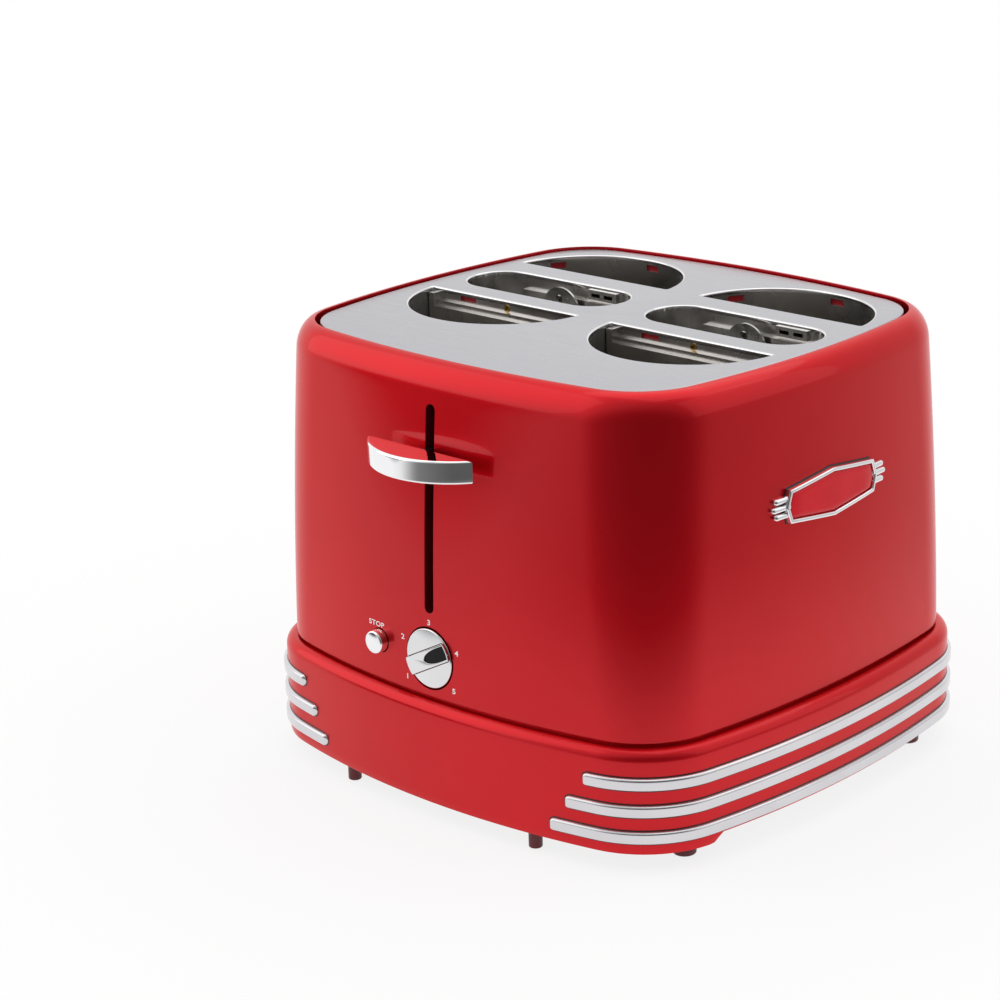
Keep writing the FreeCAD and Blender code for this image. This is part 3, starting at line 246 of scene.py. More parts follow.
class Paint:
    """A principled material with a few node shortcuts."""

    def __init__(self, name, **sockets):
        self.material = bpy.data.materials.new(name)
        self.material.use_nodes = True
        self.tree = self.material.node_tree
        self.shader = self.tree.nodes["Principled BSDF"]
        for socket, value in sockets.items():
            self.set(socket.replace("_", " "), value)

    def set(self, socket, value):
        names = {item.name.lower(): item for item in self.shader.inputs}
        names[socket.lower()].default_value = value

    def node(self, kind, **values):
        return new_node(self.tree, kind, **values)

    def link(self, source, target):
        self.tree.links.new(source, target)

    def noise(self, scale, detail=3.0, stretch=(1, 1, 1)):
        """Noise over the piece's own space, in metres."""
        place = self.node("TexCoord")
        spread = self.node("Mapping", Scale=stretch)
        noise = self.node("TexNoise", Scale=scale, Detail=detail)
        self.link(place.outputs["Object"], spread.inputs["Vector"])
        self.link(spread.outputs[0], noise.inputs["Vector"])
        return noise.outputs["Fac"]

    def ramp(self, factor, low, high, start=0.3, stop=0.7):
        """Colours or greys between two stops."""
        item = self.node("ValToRGB")
        ends = item.color_ramp.elements
        ends[0].position, ends[1].position = start, stop
        ends[0].color = low if isinstance(low, tuple) else (low, low, low, 1)
        ends[1].color = high if isinstance(high, tuple) else (high, high, high, 1)
        self.link(factor, item.inputs["Fac"])
        return item.outputs["Color"]

    def colour(self, source):
        self.link(source, self.shader.inputs["Base Color"])

    def roughness(self, source):
        self.link(source, self.shader.inputs["Roughness"])

    def bump(self, height, strength, distance):
        item = self.node("Bump", Strength=strength, Distance=distance)
        self.link(height, item.inputs["Height"])
        self.link(item.outputs["Normal"], self.shader.inputs["Normal"])

    def vary(self, low, high, rough, scales=(30.0, 120.0), details=(3.0, 3.0)):
        """Lets the colour and the roughness differ a little over the piece."""
        self.colour(self.ramp(self.noise(scales[0], details[0]), (*low, 1), (*high, 1)))
        self.roughness(self.ramp(self.noise(scales[1], details[1]), *rough))
        return self.material


def red_paint():
    """Candy red: a red metallic ground under a thin clear coat."""
    paint = Paint("red_paint", metallic=0.82, specular_tint=(1.0, 0.12, 0.12, 1),
                  coat_weight=0.65, coat_roughness=0.04, coat_ior=1.4)
    paint.vary((0.56, 0.003, 0.009), (0.62, 0.005, 0.012), (0.34, 0.42), (9.0, 1800.0), (3.0, 2.0))
    paint.bump(paint.noise(900.0, 2.0), 0.03, 0.0001)
    return paint.material


def plate_steel():
    """Satin stainless, very finely brushed."""
    paint = Paint("plate_steel", metallic=1.0, anisotropic=0.3)
    streak = paint.noise(60.0, 4.0, (1, 30, 1))
    paint.colour(paint.ramp(streak, (0.44, 0.44, 0.465, 1), (0.50, 0.50, 0.525, 1)))
    paint.roughness(paint.ramp(paint.noise(25.0, 4.0, (1, 20, 1)), 0.26, 0.34))
    paint.bump(paint.noise(400.0, 3.0, (1, 40, 1)), 0.04, 0.0001)
    return paint.material


def slot_lip():
    """The slots' rolled edges: the plate's steel made smoother, and painted brighter for a painted highlight along
    each edge.
    """
    return Paint("slot_lip", metallic=1.0).vary((0.74, 0.73, 0.73), (0.82, 0.81, 0.81), (0.10, 0.16))


def chrome():
    """Bright chrome for the lever's grip, the button and the badge."""
    return Paint("chrome", metallic=1.0).vary((0.86, 0.86, 0.88), (0.92, 0.92, 0.93), (0.03, 0.07))


def strip_chrome():
    """Satin chrome for the trim strips."""
    return Paint("strip_chrome", metallic=1.0).vary((0.66, 0.65, 0.67), (0.72, 0.71, 0.73), (0.16, 0.22))


def inner_steel():
    """The slots' inner sheet, smooth and a little heat-tinted."""
    return Paint("inner_steel", metallic=1.0).vary((0.60, 0.58, 0.56), (0.70, 0.68, 0.66), (0.22, 0.30),
                                                   (14.0, 30.0), (3.0, 2.0))


def satin_chrome():
    """Slightly dulled chrome for the dial."""
    return Paint("satin_chrome", metallic=1.0).vary((0.72, 0.72, 0.73), (0.78, 0.78, 0.79), (0.08, 0.13))


def hollow_black():
    """The dark inlay of the dial's scoop, nearly without reflections."""
    return Paint("hollow_black", specular_ior_level=0.12).vary((0.003, 0.003, 0.004), (0.008, 0.008, 0.010),
                                                               (0.10, 0.20), (60.0, 200.0))


def badge_enamel():
    """Glossy red enamel."""
    return Paint("badge_enamel", specular_ior_level=0.3).vary((0.52, 0.003, 0.010), (0.60, 0.006, 0.014),
                                                              (0.10, 0.18), (40.0, 120.0))


def dark_steel():
    """Very dark steel for the lever's arm."""
    return Paint("dark_steel", metallic=1.0).vary((0.05, 0.05, 0.05), (0.10, 0.10, 0.10), (0.25, 0.4),
                                                  (90.0, 200.0))


def zinc_steel():
    """Zinc-plated steel for the works and the bottom."""
    return Paint("zinc_steel", metallic=1.0).vary((0.38, 0.38, 0.39), (0.52, 0.52, 0.53), (0.30, 0.48),
                                                  (60.0, 140.0), (5.0, 4.0))


def cage_wire():
    """The wire of the hot dog cages, faintly browned."""
    return Paint("cage_wire", metallic=1.0).vary((0.42, 0.41, 0.39), (0.60, 0.59, 0.57), (0.16, 0.28),
                                                 (80.0, 260.0))


def plain(name, low, high, rough=(0.4, 0.6), scale=60.0, metallic=0.0, bump=0.1):
    """A lightly mottled solid colour, for pieces seen only in passing."""
    paint = Paint(name, metallic=metallic)
    paint.vary(low, high, rough, (scale, scale * 3), (4.0, 3.0))
    paint.bump(paint.noise(scale * 8, 3.0), bump, 0.0001)
    return paint.material


MATERIALS = {}


def make_materials():
    """Every material, under the short name by which the pieces ask for it."""
    MATERIALS.update({
        "red": red_paint(), "plate": plate_steel(), "lip": slot_lip(), "chrome": chrome(),
        "strip": strip_chrome(), "inner": inner_steel(),
        "zinc": zinc_steel(), "dark": dark_steel(), "wire": cage_wire(),
        # painted shade: the shell's red darkened as it looks inside the lever's slot
        "slot_shade": plain("slot_shade", (0.060, 0.001, 0.003), (0.090, 0.002, 0.005), (0.3, 0.4)),
        # painted shade: the shell's red darkened as it looks inside, through the chute windows
        "window": plain("window", (0.22, 0.002, 0.006), (0.28, 0.004, 0.009), (0.3, 0.4)),
        "mica": plain("mica", (0.40, 0.30, 0.17), (0.52, 0.42, 0.27)),
        "ribbon": plain("ribbon", (0.20, 0.17, 0.15), (0.32, 0.28, 0.25), metallic=1.0),
        "copper": plain("copper", (0.45, 0.16, 0.06), (0.62, 0.26, 0.11), (0.25, 0.4), 400.0, 1.0),
        "board": plain("board", (0.36, 0.26, 0.11), (0.44, 0.33, 0.16)),
        "satin": satin_chrome(), "hollow": hollow_black(), "enamel": badge_enamel(),
        "black": plain("black_plastic", (0.010, 0.010, 0.011), (0.022, 0.022, 0.024)),
        # painted shade: the feet's red plastic darkened as it looks under the base
        "shaded_red": plain("foot_rubber", (0.075, 0.003, 0.006), (0.12, 0.006, 0.010), (0.35, 0.5)),
        # painted shadow: a near-black colour for the shade round the strips, the badge and the dial's bar
        "painted_shadow": plain("painted_shadow", (0.030, 0.001, 0.002), (0.050, 0.002, 0.004), (0.3, 0.4)),
        "print": plain("white_print", (0.80, 0.78, 0.78), (0.88, 0.86, 0.86), (0.35, 0.45), 200.0, 0.0, 0.02),
        "brass": plain("brass", (0.55, 0.33, 0.08), (0.68, 0.44, 0.14), (0.2, 0.32), 200.0, 1.0, 0.02),
    })


def paint_node(name, material):
    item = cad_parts[name]
    item.data.materials.clear()
    item.data.materials.append(MATERIALS[material])


# ---------------------------------------------------------------- mesh helpers


def new_object(name, vertices, faces, material, angle=35.0):
    """A mesh object from points in millimetres."""
    mesh = bpy.data.meshes.new(name)
    mesh.from_pydata([tuple(Vector(v) * MM) for v in vertices], [], faces)
    item = bpy.data.objects.new(name, mesh)
    bpy.context.scene.collection.objects.link(item)
    finish_mesh(item, material, angle)
    return item


def finish_mesh(item, material, angle=35.0):
    """Closes seams, turns faces outwards, and keeps edges sharper than the angle as creases."""
    mesh = item.data
    mesh.materials.clear()
    mesh.materials.append(MATERIALS[material])
    shape = bmesh.new()
    shape.from_mesh(mesh)
    bmesh.ops.remove_doubles(shape, verts=shape.verts, dist=1e-7)
    bmesh.ops.recalc_face_normals(shape, faces=shape.faces)
    for face in shape.faces:
        face.smooth = True
    for edge in shape.edges:
        edge.smooth = len(edge.link_faces) != 2 or edge.calc_face_angle(0.0) < math.radians(angle)
    shape.to_mesh(mesh)
    shape.free()


def applied(item):
    """Turns an object's modifiers into its mesh."""
    graph = bpy.context.evaluated_depsgraph_get()
    mesh = bpy.data.meshes.new_from_object(item.evaluated_get(graph))
    item.modifiers.clear()
    item.data = mesh
    return item


def cut_away(item, *tools):
    """Cuts each tool out of the object and removes the tool."""
    for tool in tools:
        change = item.modifiers.new("cut", "BOOLEAN")
        change.operation = "DIFFERENCE"
        change.solver = "EXACT"
        change.object = tool
    applied(item)
    for tool in tools:
        bpy.data.objects.remove(tool)


def bevelled(item, width, segments):
    """Rounds the object's sharp edges."""
    change = item.modifiers.new("bevel", "BEVEL")
    change.width = width * MM
    change.segments = segments
    change.limit_method = "ANGLE"
    change.angle_limit = math.radians(30.0)
    return applied(item)


def rows_object(name, rows, material, round_rows=False, loop=True, angle=35.0, caps=False):
    """A sheet over rows of points; loop joins each row's ends, round_rows joins the last row to the first."""
    count = len(rows[0])
    vertices = [point for row in rows for point in row]
    faces = []
    steps = len(rows) if round_rows else len(rows) - 1
    for i in range(steps):
        a, b = i * count, (i + 1) % len(rows) * count
        for j in range(count if loop else count - 1):
            k = (j + 1) % count
            faces.append((a + j, a + k, b + k, b + j))
    if caps:
        faces.append(tuple(range(count)))
        faces.append(tuple(reversed(range((len(rows) - 1) * count, len(rows) * count))))
    return new_object(name, vertices, faces, material, angle)


def prism(name, points, low, high, axis="z", material="black"):
    """A closed prism of a 2D outline along an axis; used for solids and for cutting."""
    def place(u, v, w):
        return {"x": (w, u, v), "y": (u, w, v), "z": (u, v, w)}[axis]
    rows = [[place(u, v, w) for u, v in points] for w in (low, high)]
    return rows_object(name, rows, material, caps=True)


def circle_points(centre, radius, count):
    return [(centre[0] + radius * math.cos(2 * math.pi * i / count),
             centre[1] + radius * math.sin(2 * math.pi * i / count)) for i in range(count)]


def box_points(left, right, low, high):
    return [(left, low), (right, low), (right, high), (left, high)]


def quarter_turn(steps):
    """Angles from 0 to a right angle, in equal steps."""
    return [math.pi / 2 * i / steps for i in range(steps + 1)]


def stadium_points(centre, half, radius, upright=False, count=24):
    """A round-ended slot; half is from its middle to each end's centre."""
    points = []
    for s in (1, -1):
        for i in range(count + 1):
            turn = -math.pi / 2 + math.pi * i / count + (0 if s > 0 else math.pi)
            points.append((centre[0] + s * half + radius * math.cos(turn), centre[1] + radius * math.sin(turn)))
    if upright:
        points = [(centre[0] - (v - centre[1]), centre[1] + (u - centre[0])) for u, v in points]
    return points


# ---------------------------------------------------------------- bulged outlines


def grown(sizes, off):
    """An outline's sizes, moved outwards by off."""
    return tuple(size + off for size in sizes)


def mixed(first, second, share):
    """Sizes part-way from one outline to another."""
    return tuple(a + (b - a) * share for a, b in zip(first, second))


def shell_sizes(z):
    """The shell's outline at a height, along a parabola through its three measured sections."""
    levels = (SEAM_Z, MID_Z, RIM_Z)
    shapes = [OUTLINES[name] for name in ("seam", "mid", "rim")]
    shares = []
    for i, a in enumerate(levels):
        b, c = (level for k, level in enumerate(levels) if k != i)
        shares.append((z - b) * (z - c) / ((a - b) * (a - c)))
    return tuple(sum(share * shape[k] for share, shape in zip(shares, shapes)) for k in range(5))


def arc_centres(half_x, half_y, end_radius, side_radius, corner_radius):
    """Centres of the rear, right and rear right corner arcs, which meet smoothly."""
    end = Vector((0.0, half_y - end_radius))
    side = Vector((half_x - side_radius, 0.0))
    apart = (side - end).length
    along = (side - end) / apart
    to_end, to_side = end_radius - corner_radius, side_radius - corner_radius
    run = (to_end ** 2 - to_side ** 2 + apart ** 2) / (2 * apart)
    rise = math.sqrt(to_end ** 2 - run ** 2)
    across = Vector((-along.y, along.x))
    spots = [end + along * run + across * rise * s for s in (1, -1)]
    return end, side, max(spots, key=lambda spot: spot.x + spot.y)


def outline(sizes, ends=64, corners=20):
    """The whole outline, counter-clockwise from the middle of the right side."""
    end, side, corner = arc_centres(*sizes)
    end_radius, side_radius, corner_radius = sizes[2:]
    to_end = math.atan2(corner.y - end.y, corner.x - end.x)
    to_side = math.atan2(corner.y - side.y, corner.x - side.x)
    quarter = []
    for centre, radius, start, stop, count in ((side, side_radius, 0.0, to_side, ends // 2),
                                               (corner, corner_radius, to_side, to_end, corners),
                                               (end, end_radius, to_end, math.pi / 2, ends // 2)):
        for i in range(count):
            turn = start + (stop - start) * i / count
            quarter.append((centre.x + radius * math.cos(turn), centre.y + radius * math.sin(turn)))
    top = (0.0, sizes[1])
    half = quarter + [top] + [(-x, y) for x, y in reversed(quarter[1:])]
    return half + [(-sizes[0], 0.0)] + [(x, -y) for x, y in reversed(half[1:])]


def level_row(sizes, z):
    return [(x, y, z) for x, y in outline(sizes)]


def front_y(x, z, off=0.0):
    """Where the shell's front face lies."""
    sizes = grown(shell_sizes(z), off)
    return -(sizes[1] - sizes[2] + math.sqrt(sizes[2] ** 2 - x ** 2))


def side_x(y, z, off=0.0):
    """Where the shell's right face lies."""
    sizes = grown(shell_sizes(z), off)
    return sizes[0] - sizes[3] + math.sqrt(sizes[3] ** 2 - y ** 2)


# ---------------------------------------------------------------- casing


def rim_rows(inset):
    """The rounded shoulder from the wall to the crest, inset from the outer skin."""
    rows = []
    mouth = grown(OUTLINES["plate"], PLATE_GAP)
    for turn in quarter_turn(16):
        down = RIM_IN * (1 - math.cos(turn))
        z = RIM_Z - RIM_DOWN + RIM_DOWN * math.sin(turn)
        share = down / RIM_IN
        wall = grown(shell_sizes(z), -down)
        crest = grown(mouth, RIM_IN - down)
        rows.append(level_row(grown(mixed(wall, crest, share), -inset * math.cos(turn)), z - inset * math.sin(turn)))
    return rows


def outer_shell():
    """The red sheet from the seam up over the shoulder, and back down inside."""
    steps, soft = 40, 0.35
    mouth = grown(OUTLINES["plate"], PLATE_GAP)
    heights = [SEAM_Z + (RIM_Z - RIM_DOWN - SEAM_Z) * i / steps for i in range(steps)]
    rows = [level_row(grown(shell_sizes(SEAM_Z), -soft), SEAM_Z)]
    rows += [level_row(shell_sizes(z), max(z, SEAM_Z + soft)) for z in heights]
    rows += rim_rows(0.0)
    rows += [level_row(mouth, RIM_Z - 0.3), level_row(mouth, RIM_Z - RIM_LIP),
             level_row(grown(mouth, SHEET), RIM_Z - RIM_LIP), level_row(grown(mouth, SHEET), RIM_Z - 2.0)]
    rows += list(reversed(rim_rows(SHEET)))[1:]
    rows += [level_row(grown(shell_sizes(z), -SHEET), z) for z in reversed(heights)]
    shell = rows_object("shell_skin", rows, "red", round_rows=True)
    slot = stadium_points((0, LEVER_MIDDLE), LEVER_HALF, LEVER_END, upright=True)
    dial = circle_points((0, DIAL_Z), DIAL_RADIUS + DIAL_GAP, 96)
    button = circle_points((BUTTON_X, BUTTON_Z), BUTTON_RADIUS + BUTTON_GAP, 64)
    cut_away(shell, *[prism(name, points, *FRONT_CUT, "y")
                      for name, points in (("slot_tool", slot), ("dial_tool", dial), ("button_tool", button))])
    finish_mesh(shell, "red")
    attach(shell, "root")
    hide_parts("outer_shell")


def bottom_level(y):
    """The base's lower edge: low at the front, raised along the sides and rear."""
    share = min(max((y - SIDE_DROP) / DROP_RUN, 0.0), 1.0)
    return BASE_BOTTOM + (BASE_STEP - BASE_BOTTOM) * share


def base_housing():
    """The base: a collar inside the shell, a rounded shoulder, the wall, and the inside of the wall."""
    base, seam, below = OUTLINES["base"], OUTLINES["seam"], BASE_TOP - BASE_SHOULDER
    inner, outer = grown(seam, -4.5), grown(seam, -2.2)
    rows = [level_row(inner, BASE_DECK), level_row(inner, BASE_COLLAR),
            level_row(outer, BASE_COLLAR), level_row(outer, BASE_TOP)]
    for turn in quarter_turn(12):
        rows.append(level_row(grown(base, -BASE_SHOULDER * (1 - math.sin(turn))),
                              BASE_TOP - BASE_SHOULDER * (1 - math.cos(turn))))
    for share in (0.1, 0.3, 0.5, 0.7, 0.9):
        rows.append([(x, y, below * (1 - share) + bottom_level(y) * share) for x, y in outline(base)])
    for off, up in ((0.0, 1.2), (-0.35, 0.35), (-1.2, 0.0), (-BASE_WALL, 0.0)):
        rows.append([(x, y, bottom_level(y) + up) for x, y in outline(grown(base, off))])
    rows.append(level_row(grown(base, -BASE_WALL), BASE_DECK))
    item = rows_object("base_skin", rows, "red", round_rows=True)
    cut_away(item, prism("door_tool", box_points(-DOOR_HALF, DOOR_HALF, 120, 160), DOOR_LOW, DOOR_HIGH),
             prism("gland_tool", circle_points((GLAND_X, GLAND_Z), GLAND_RADIUS, 48), 120, 150, "y"))
    finish_mesh(item, "red")
    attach(item, "root")
    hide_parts("base_housing")


def side_path(sizes, side, front_end, rear_end, count=240):
    """Points and outward directions along one side, from the front end round to the rear end."""
    points = [Vector(p) for p in outline(sizes, 400, 120)]
    half = [p for p in points if p.x * side > 0]
    half.sort(key=lambda p: math.atan2(p.y, abs(p.x)))
    kept = [p for p in half if (p.y > 0 and abs(p.x) > rear_end) or (p.y <= 0 and abs(p.x) > front_end)]
    runs = [0.0]
    for a, b in zip(kept, kept[1:]):
        runs.append(runs[-1] + (b - a).length)
    path, k = [], 0
    for i in range(count + 1):
        want = runs[-1] * i / count
        while k < len(runs) - 2 and runs[k + 1] < want:
            k += 1
        share = (want - runs[k]) / (runs[k + 1] - runs[k])
        spot = kept[k].lerp(kept[k + 1], share)
        along = (kept[k + 1] - kept[k]).normalized()
        out = Vector((along.y, -along.x)) * side
        path.append((spot, out, min(want, runs[-1] - want)))
    return path


def strip_mesh(name, side, level, front_end, half, proud, material, squareness=7.0):
    """A bar that wraps the side of the base, rounded in section and at its ends."""
    longer, root, steps = half - STRIP_HALF, 0.4, 12
    path = side_path(OUTLINES["base"], side, front_end - longer, STRIP_REAR - longer)
    rows = []
    for spot, out, from_end in densify_ends(path, half):
        reach = min(from_end, half)
        tall = math.sqrt(max(half ** 2 - (half - reach) ** 2, 1e-4))
        thick = proud * min(1.0, (0.15 + from_end / (half * 0.6)))
        row = [(spot.x - out.x * root, spot.y - out.y * root, level - tall)]
        for i in range(steps + 1):
            u = -1 + 2 * i / steps
            bulge = (1 - abs(u) ** squareness) ** 0.5
            row.append((spot.x + out.x * thick * bulge, spot.y + out.y * thick * bulge, level + u * tall))
        row.append((spot.x - out.x * root, spot.y - out.y * root, level + tall))
        rows.append(row)
    return rows_object(name, rows, material, caps=True, angle=50.0)


def densify_ends(path, half):
    """More stations where a bar's end rounds off."""
    made = []
    for (a, out_a, d_a), (b, out_b, d_b) in zip(path, path[1:]):
        made.append((a, out_a, d_a))
        if min(d_a, d_b) < half:
            for share in (0.2, 0.4, 0.6, 0.8):
                made.append((a.lerp(b, share), out_a.lerp(out_b, share).normalized(), d_a + (d_b - d_a) * share))
    return made + [path[-1]]


def trim_strips():
    """Three chrome strips round each side, each on a slightly larger dark band of painted shadow."""
    for side_name, side in SIDES.items():
        for level_name, (level, front_end) in STRIPS.items():
            name = f"trim_strip_{side_name}_{level_name}"
            bar = strip_mesh("chrome_" + name, side, level, front_end, STRIP_HALF, 2.0, "strip")
            # the dark band behind each strip is painted shadow along its edges
            shadow_band = strip_mesh("shadow_band_" + name, side, level, front_end, STRIP_HALF + 0.6, 0.25, "painted_shadow", 8.0)
            for item in (bar, shadow_band):
                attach(item, "root")
            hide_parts(name)


# ---------------------------------------------------------------- top plate


def bun_loop(row, side, off, count=72, corner_steps=6):
    """A bun slot's half-round outline, grown by off, its two corners slightly rounded."""
    centre, radius, flat, way = BUN_SLOTS[row]
    grown_radius = radius + off
    edge = flat - way * off
    inner = grown_radius - BUN_CORNER
    drop = edge + way * BUN_CORNER - centre
    reach = math.sqrt(inner ** 2 - drop ** 2)
    lean = math.atan2(abs(drop), reach) * (1 if drop * way > 0 else -1)
    points = []
    for i in range(count + 1):
        turn = lean + (math.pi - 2 * lean) * i / count
        points.append((grown_radius * math.cos(turn), centre + way * grown_radius * math.sin(turn)))
    corner = (-reach, centre + drop)
    sweep = math.pi / 2 + lean
    ends = [(corner[0], math.pi - lean + sweep * i / corner_steps) for i in range(1, corner_steps + 1)]
    ends += [(-corner[0], -math.pi / 2 + sweep * i / corner_steps) for i in range(corner_steps)]
    points += [(x + BUN_CORNER * math.cos(turn), corner[1] + way * BUN_CORNER * math.sin(turn)) for x, turn in ends]
    loop = [(x + SLOT_MIDDLE * side, y) for x, y in points]
    return loop if way > 0 else list(reversed(loop))


def sausage_loop(side, off, count=32):
    """A hot dog slot's round-ended outline, grown by off."""
    radius = (SAUSAGE_REAR - SAUSAGE_FRONT) / 2
    half = SLOT_MIDDLE - SLOT_NEAR - radius
    middle = (SLOT_MIDDLE * side, (SAUSAGE_FRONT + SAUSAGE_REAR) / 2)
    return stadium_points(middle, half, radius + off, count=count)


def slot_loops(off):
    """The six slots' outlines."""
    for side in SIDES.values():
        for row in ROWS:
            yield bun_loop(row, side, off)
        yield sausage_loop(side, off)


def top_plate():
    """A flat sheet with a soft outer edge, cut out for the slots."""
    shape = bmesh.new()

    def ring(points, z):
        return [shape.verts.new(Vector((x, y, z)) * MM) for x, y in points]

    def bridge(first, second):
        for i in range(len(first)):
            k = (i + 1) % len(first)
            shape.faces.new((first[i], first[k], second[k], second[i]))

    plate, soft, skirt = OUTLINES["plate"], 1.0, PLATE_Z - 4.0
    rim = ring(outline(grown(plate, -soft)), PLATE_Z)
    flat, previous = [rim], rim
    sections = [(-soft + math.sin(turn), PLATE_Z - soft + math.cos(turn)) for turn in quarter_turn(5)[1:]]
    sections += [(0.0, skirt), (-SHEET, skirt), (-SHEET, PLATE_Z - SHEET)]
    for off, z in sections:
        row = ring(outline(grown(plate, off)), z)
        bridge(previous, row)
        previous = row
    for loop in slot_loops(SLOT_ROLL):
        top = ring(loop, PLATE_Z)
        flat.append(top)
        bridge(top, ring(loop, PLATE_Z - SHEET))
    edges = [shape.edges.get((loop[i], loop[(i + 1) % len(loop)])) for loop in flat for i in range(len(loop))]
    bmesh.ops.triangle_fill(shape, use_beauty=True, use_dissolve=False, edges=edges)
    mesh = bpy.data.meshes.new("plate_sheet")
    shape.to_mesh(mesh)
    shape.free()
    item = bpy.data.objects.new("plate_sheet", mesh)
    bpy.context.scene.collection.objects.link(item)
    finish_mesh(item, "plate", 50.0)
    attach(item, "root")
    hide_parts("top_plate")


def slot_edges():
    """Each slot's rolled edge, in the brighter steel of the painted highlight: it rolls over and folds down."""
    profile = [(SLOT_ROLL * (1 - math.sin(turn)), -SLOT_ROLL * (1 - math.cos(turn))) for turn in quarter_turn(6)]
    profile += [(0.0, -SLOT_FOLD), (SLOT_SHEET, -SLOT_FOLD), (SLOT_SHEET, -SLOT_ROLL - 0.5)]
    rows = [[[(x, y, PLATE_Z + drop) for x, y in loop] for loop in slot_loops(off)]
            for off, drop in profile]
    for index in range(len(rows[0])):
        item = rows_object(f"slot_edge_{index + 1}", [row[index] for row in rows], "lip", round_rows=True, angle=50.0)
        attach(item, "root")


# ---------------------------------------------------------------- controls


def grip_outline(inset, count=64):
    """The grip's half-moon in plan, drawn in by inset: its arc, then its straight back."""
    radius, back = GRIP_RADIUS - inset, GRIP_BACK - inset
    half = math.sqrt(radius ** 2 - (back - GRIP_CENTRE) ** 2) - 0.7
    start, stop = (math.atan2(back - GRIP_CENTRE, s * half) for s in (-1, 1))
    points = [(-half, back)]
    for i in range(count + 1):
        turn = start + (stop - start) * i / count
        points.append((radius * math.cos(turn), GRIP_CENTRE + radius * math.sin(turn)))
    return points + [(half, back)]


def lever_handle():
    """The half-moon chrome grip, rounded along its top and bottom edges."""
    low, high = (corner.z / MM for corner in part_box("lever_handle"))
    rows = []
    for level, way in ((low, 1), (high, -1)):
        edge = [(GRIP_ROUND * (1 - math.sin(turn)), level + way * GRIP_ROUND * (1 - math.cos(turn)))
                for turn in quarter_turn(8)]
        rows += edge if way > 0 else list(reversed(edge))
    rows = [[(x, y, z) for x, y in grip_outline(inset)] for inset, z in rows]
    item = rows_object("handle_grip", rows, "chrome", caps=True, angle=50.0)
    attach(item, "carriage")
    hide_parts("lever_handle")


def slot_liner():
    """A dark red sleeve just inside the lever's slot: painted shade, the shell's red darkened as it looks in the
    slot's shadow.
    """
    front, back, step, sheet = 0.25, 8.0, 1.4, 0.2
    rows = []
    for off, deep in ((-0.15, front), (-0.15, back), (1.0, back), (1.0, step), (sheet, step), (sheet, front)):
        rows.append([(x, front_y(x, z) + deep, z)
                     for x, z in stadium_points((0, LEVER_MIDDLE), LEVER_HALF, LEVER_END + off, upright=True)])
    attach(rows_object("slot_liner", rows, "slot_shade", round_rows=True), "root")


def window_liners():
    """Red sheets behind the windows of the bun slots' walls: the shell's red inside, painted darker as shade."""
    clear, thick = 1.1, 0.3
    first, width, window = 19.8, 12.5, (228.0, 231.2)
    low, high, arcs, steps = 226.6, 230.9, ((141.0, 156.0), (80.0, 95.0)), 8
    for label, side in SIDES.items():
        for row in ROWS:
            flat, way = BUN_SLOTS[row][2:]
            start = (SLOT_NEAR if side > 0 else -SLOT_FAR) + first
            back = flat - way * clear
            sheet = prism(f"window_{row}_{label}", box_points(start, start + width, *window),
                          back, back - way * thick, "y", "window")
            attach(sheet, "root")
        centre, radius = BUN_SLOTS["rear"][:2]
        for index, (start, stop) in enumerate(arcs):
            turns = [math.radians(start + (stop - start) * i / steps) for i in range(steps + 1)]
            rows = [[(SLOT_MIDDLE * side + (radius + off) * math.cos(turn),
                      centre + (radius + off) * math.sin(turn), z) for turn in turns]
                    for off, z in ((clear, low), (clear, high), (clear + thick, high), (clear + thick, low))]
            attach(rows_object(f"window_{label}_{index}", rows, "window", round_rows=True, loop=False), "root")


def turned(points, pivot, degrees):
    """Points in the front view, turned anticlockwise as seen from the front."""
    turn = math.radians(degrees)
    c, s = math.cos(turn), math.sin(turn)
    return [(pivot[0] + (x - pivot[0]) * c - (z - pivot[1]) * s, pivot[1] + (x - pivot[0]) * s + (z - pivot[1]) * c)
            for x, z in points]


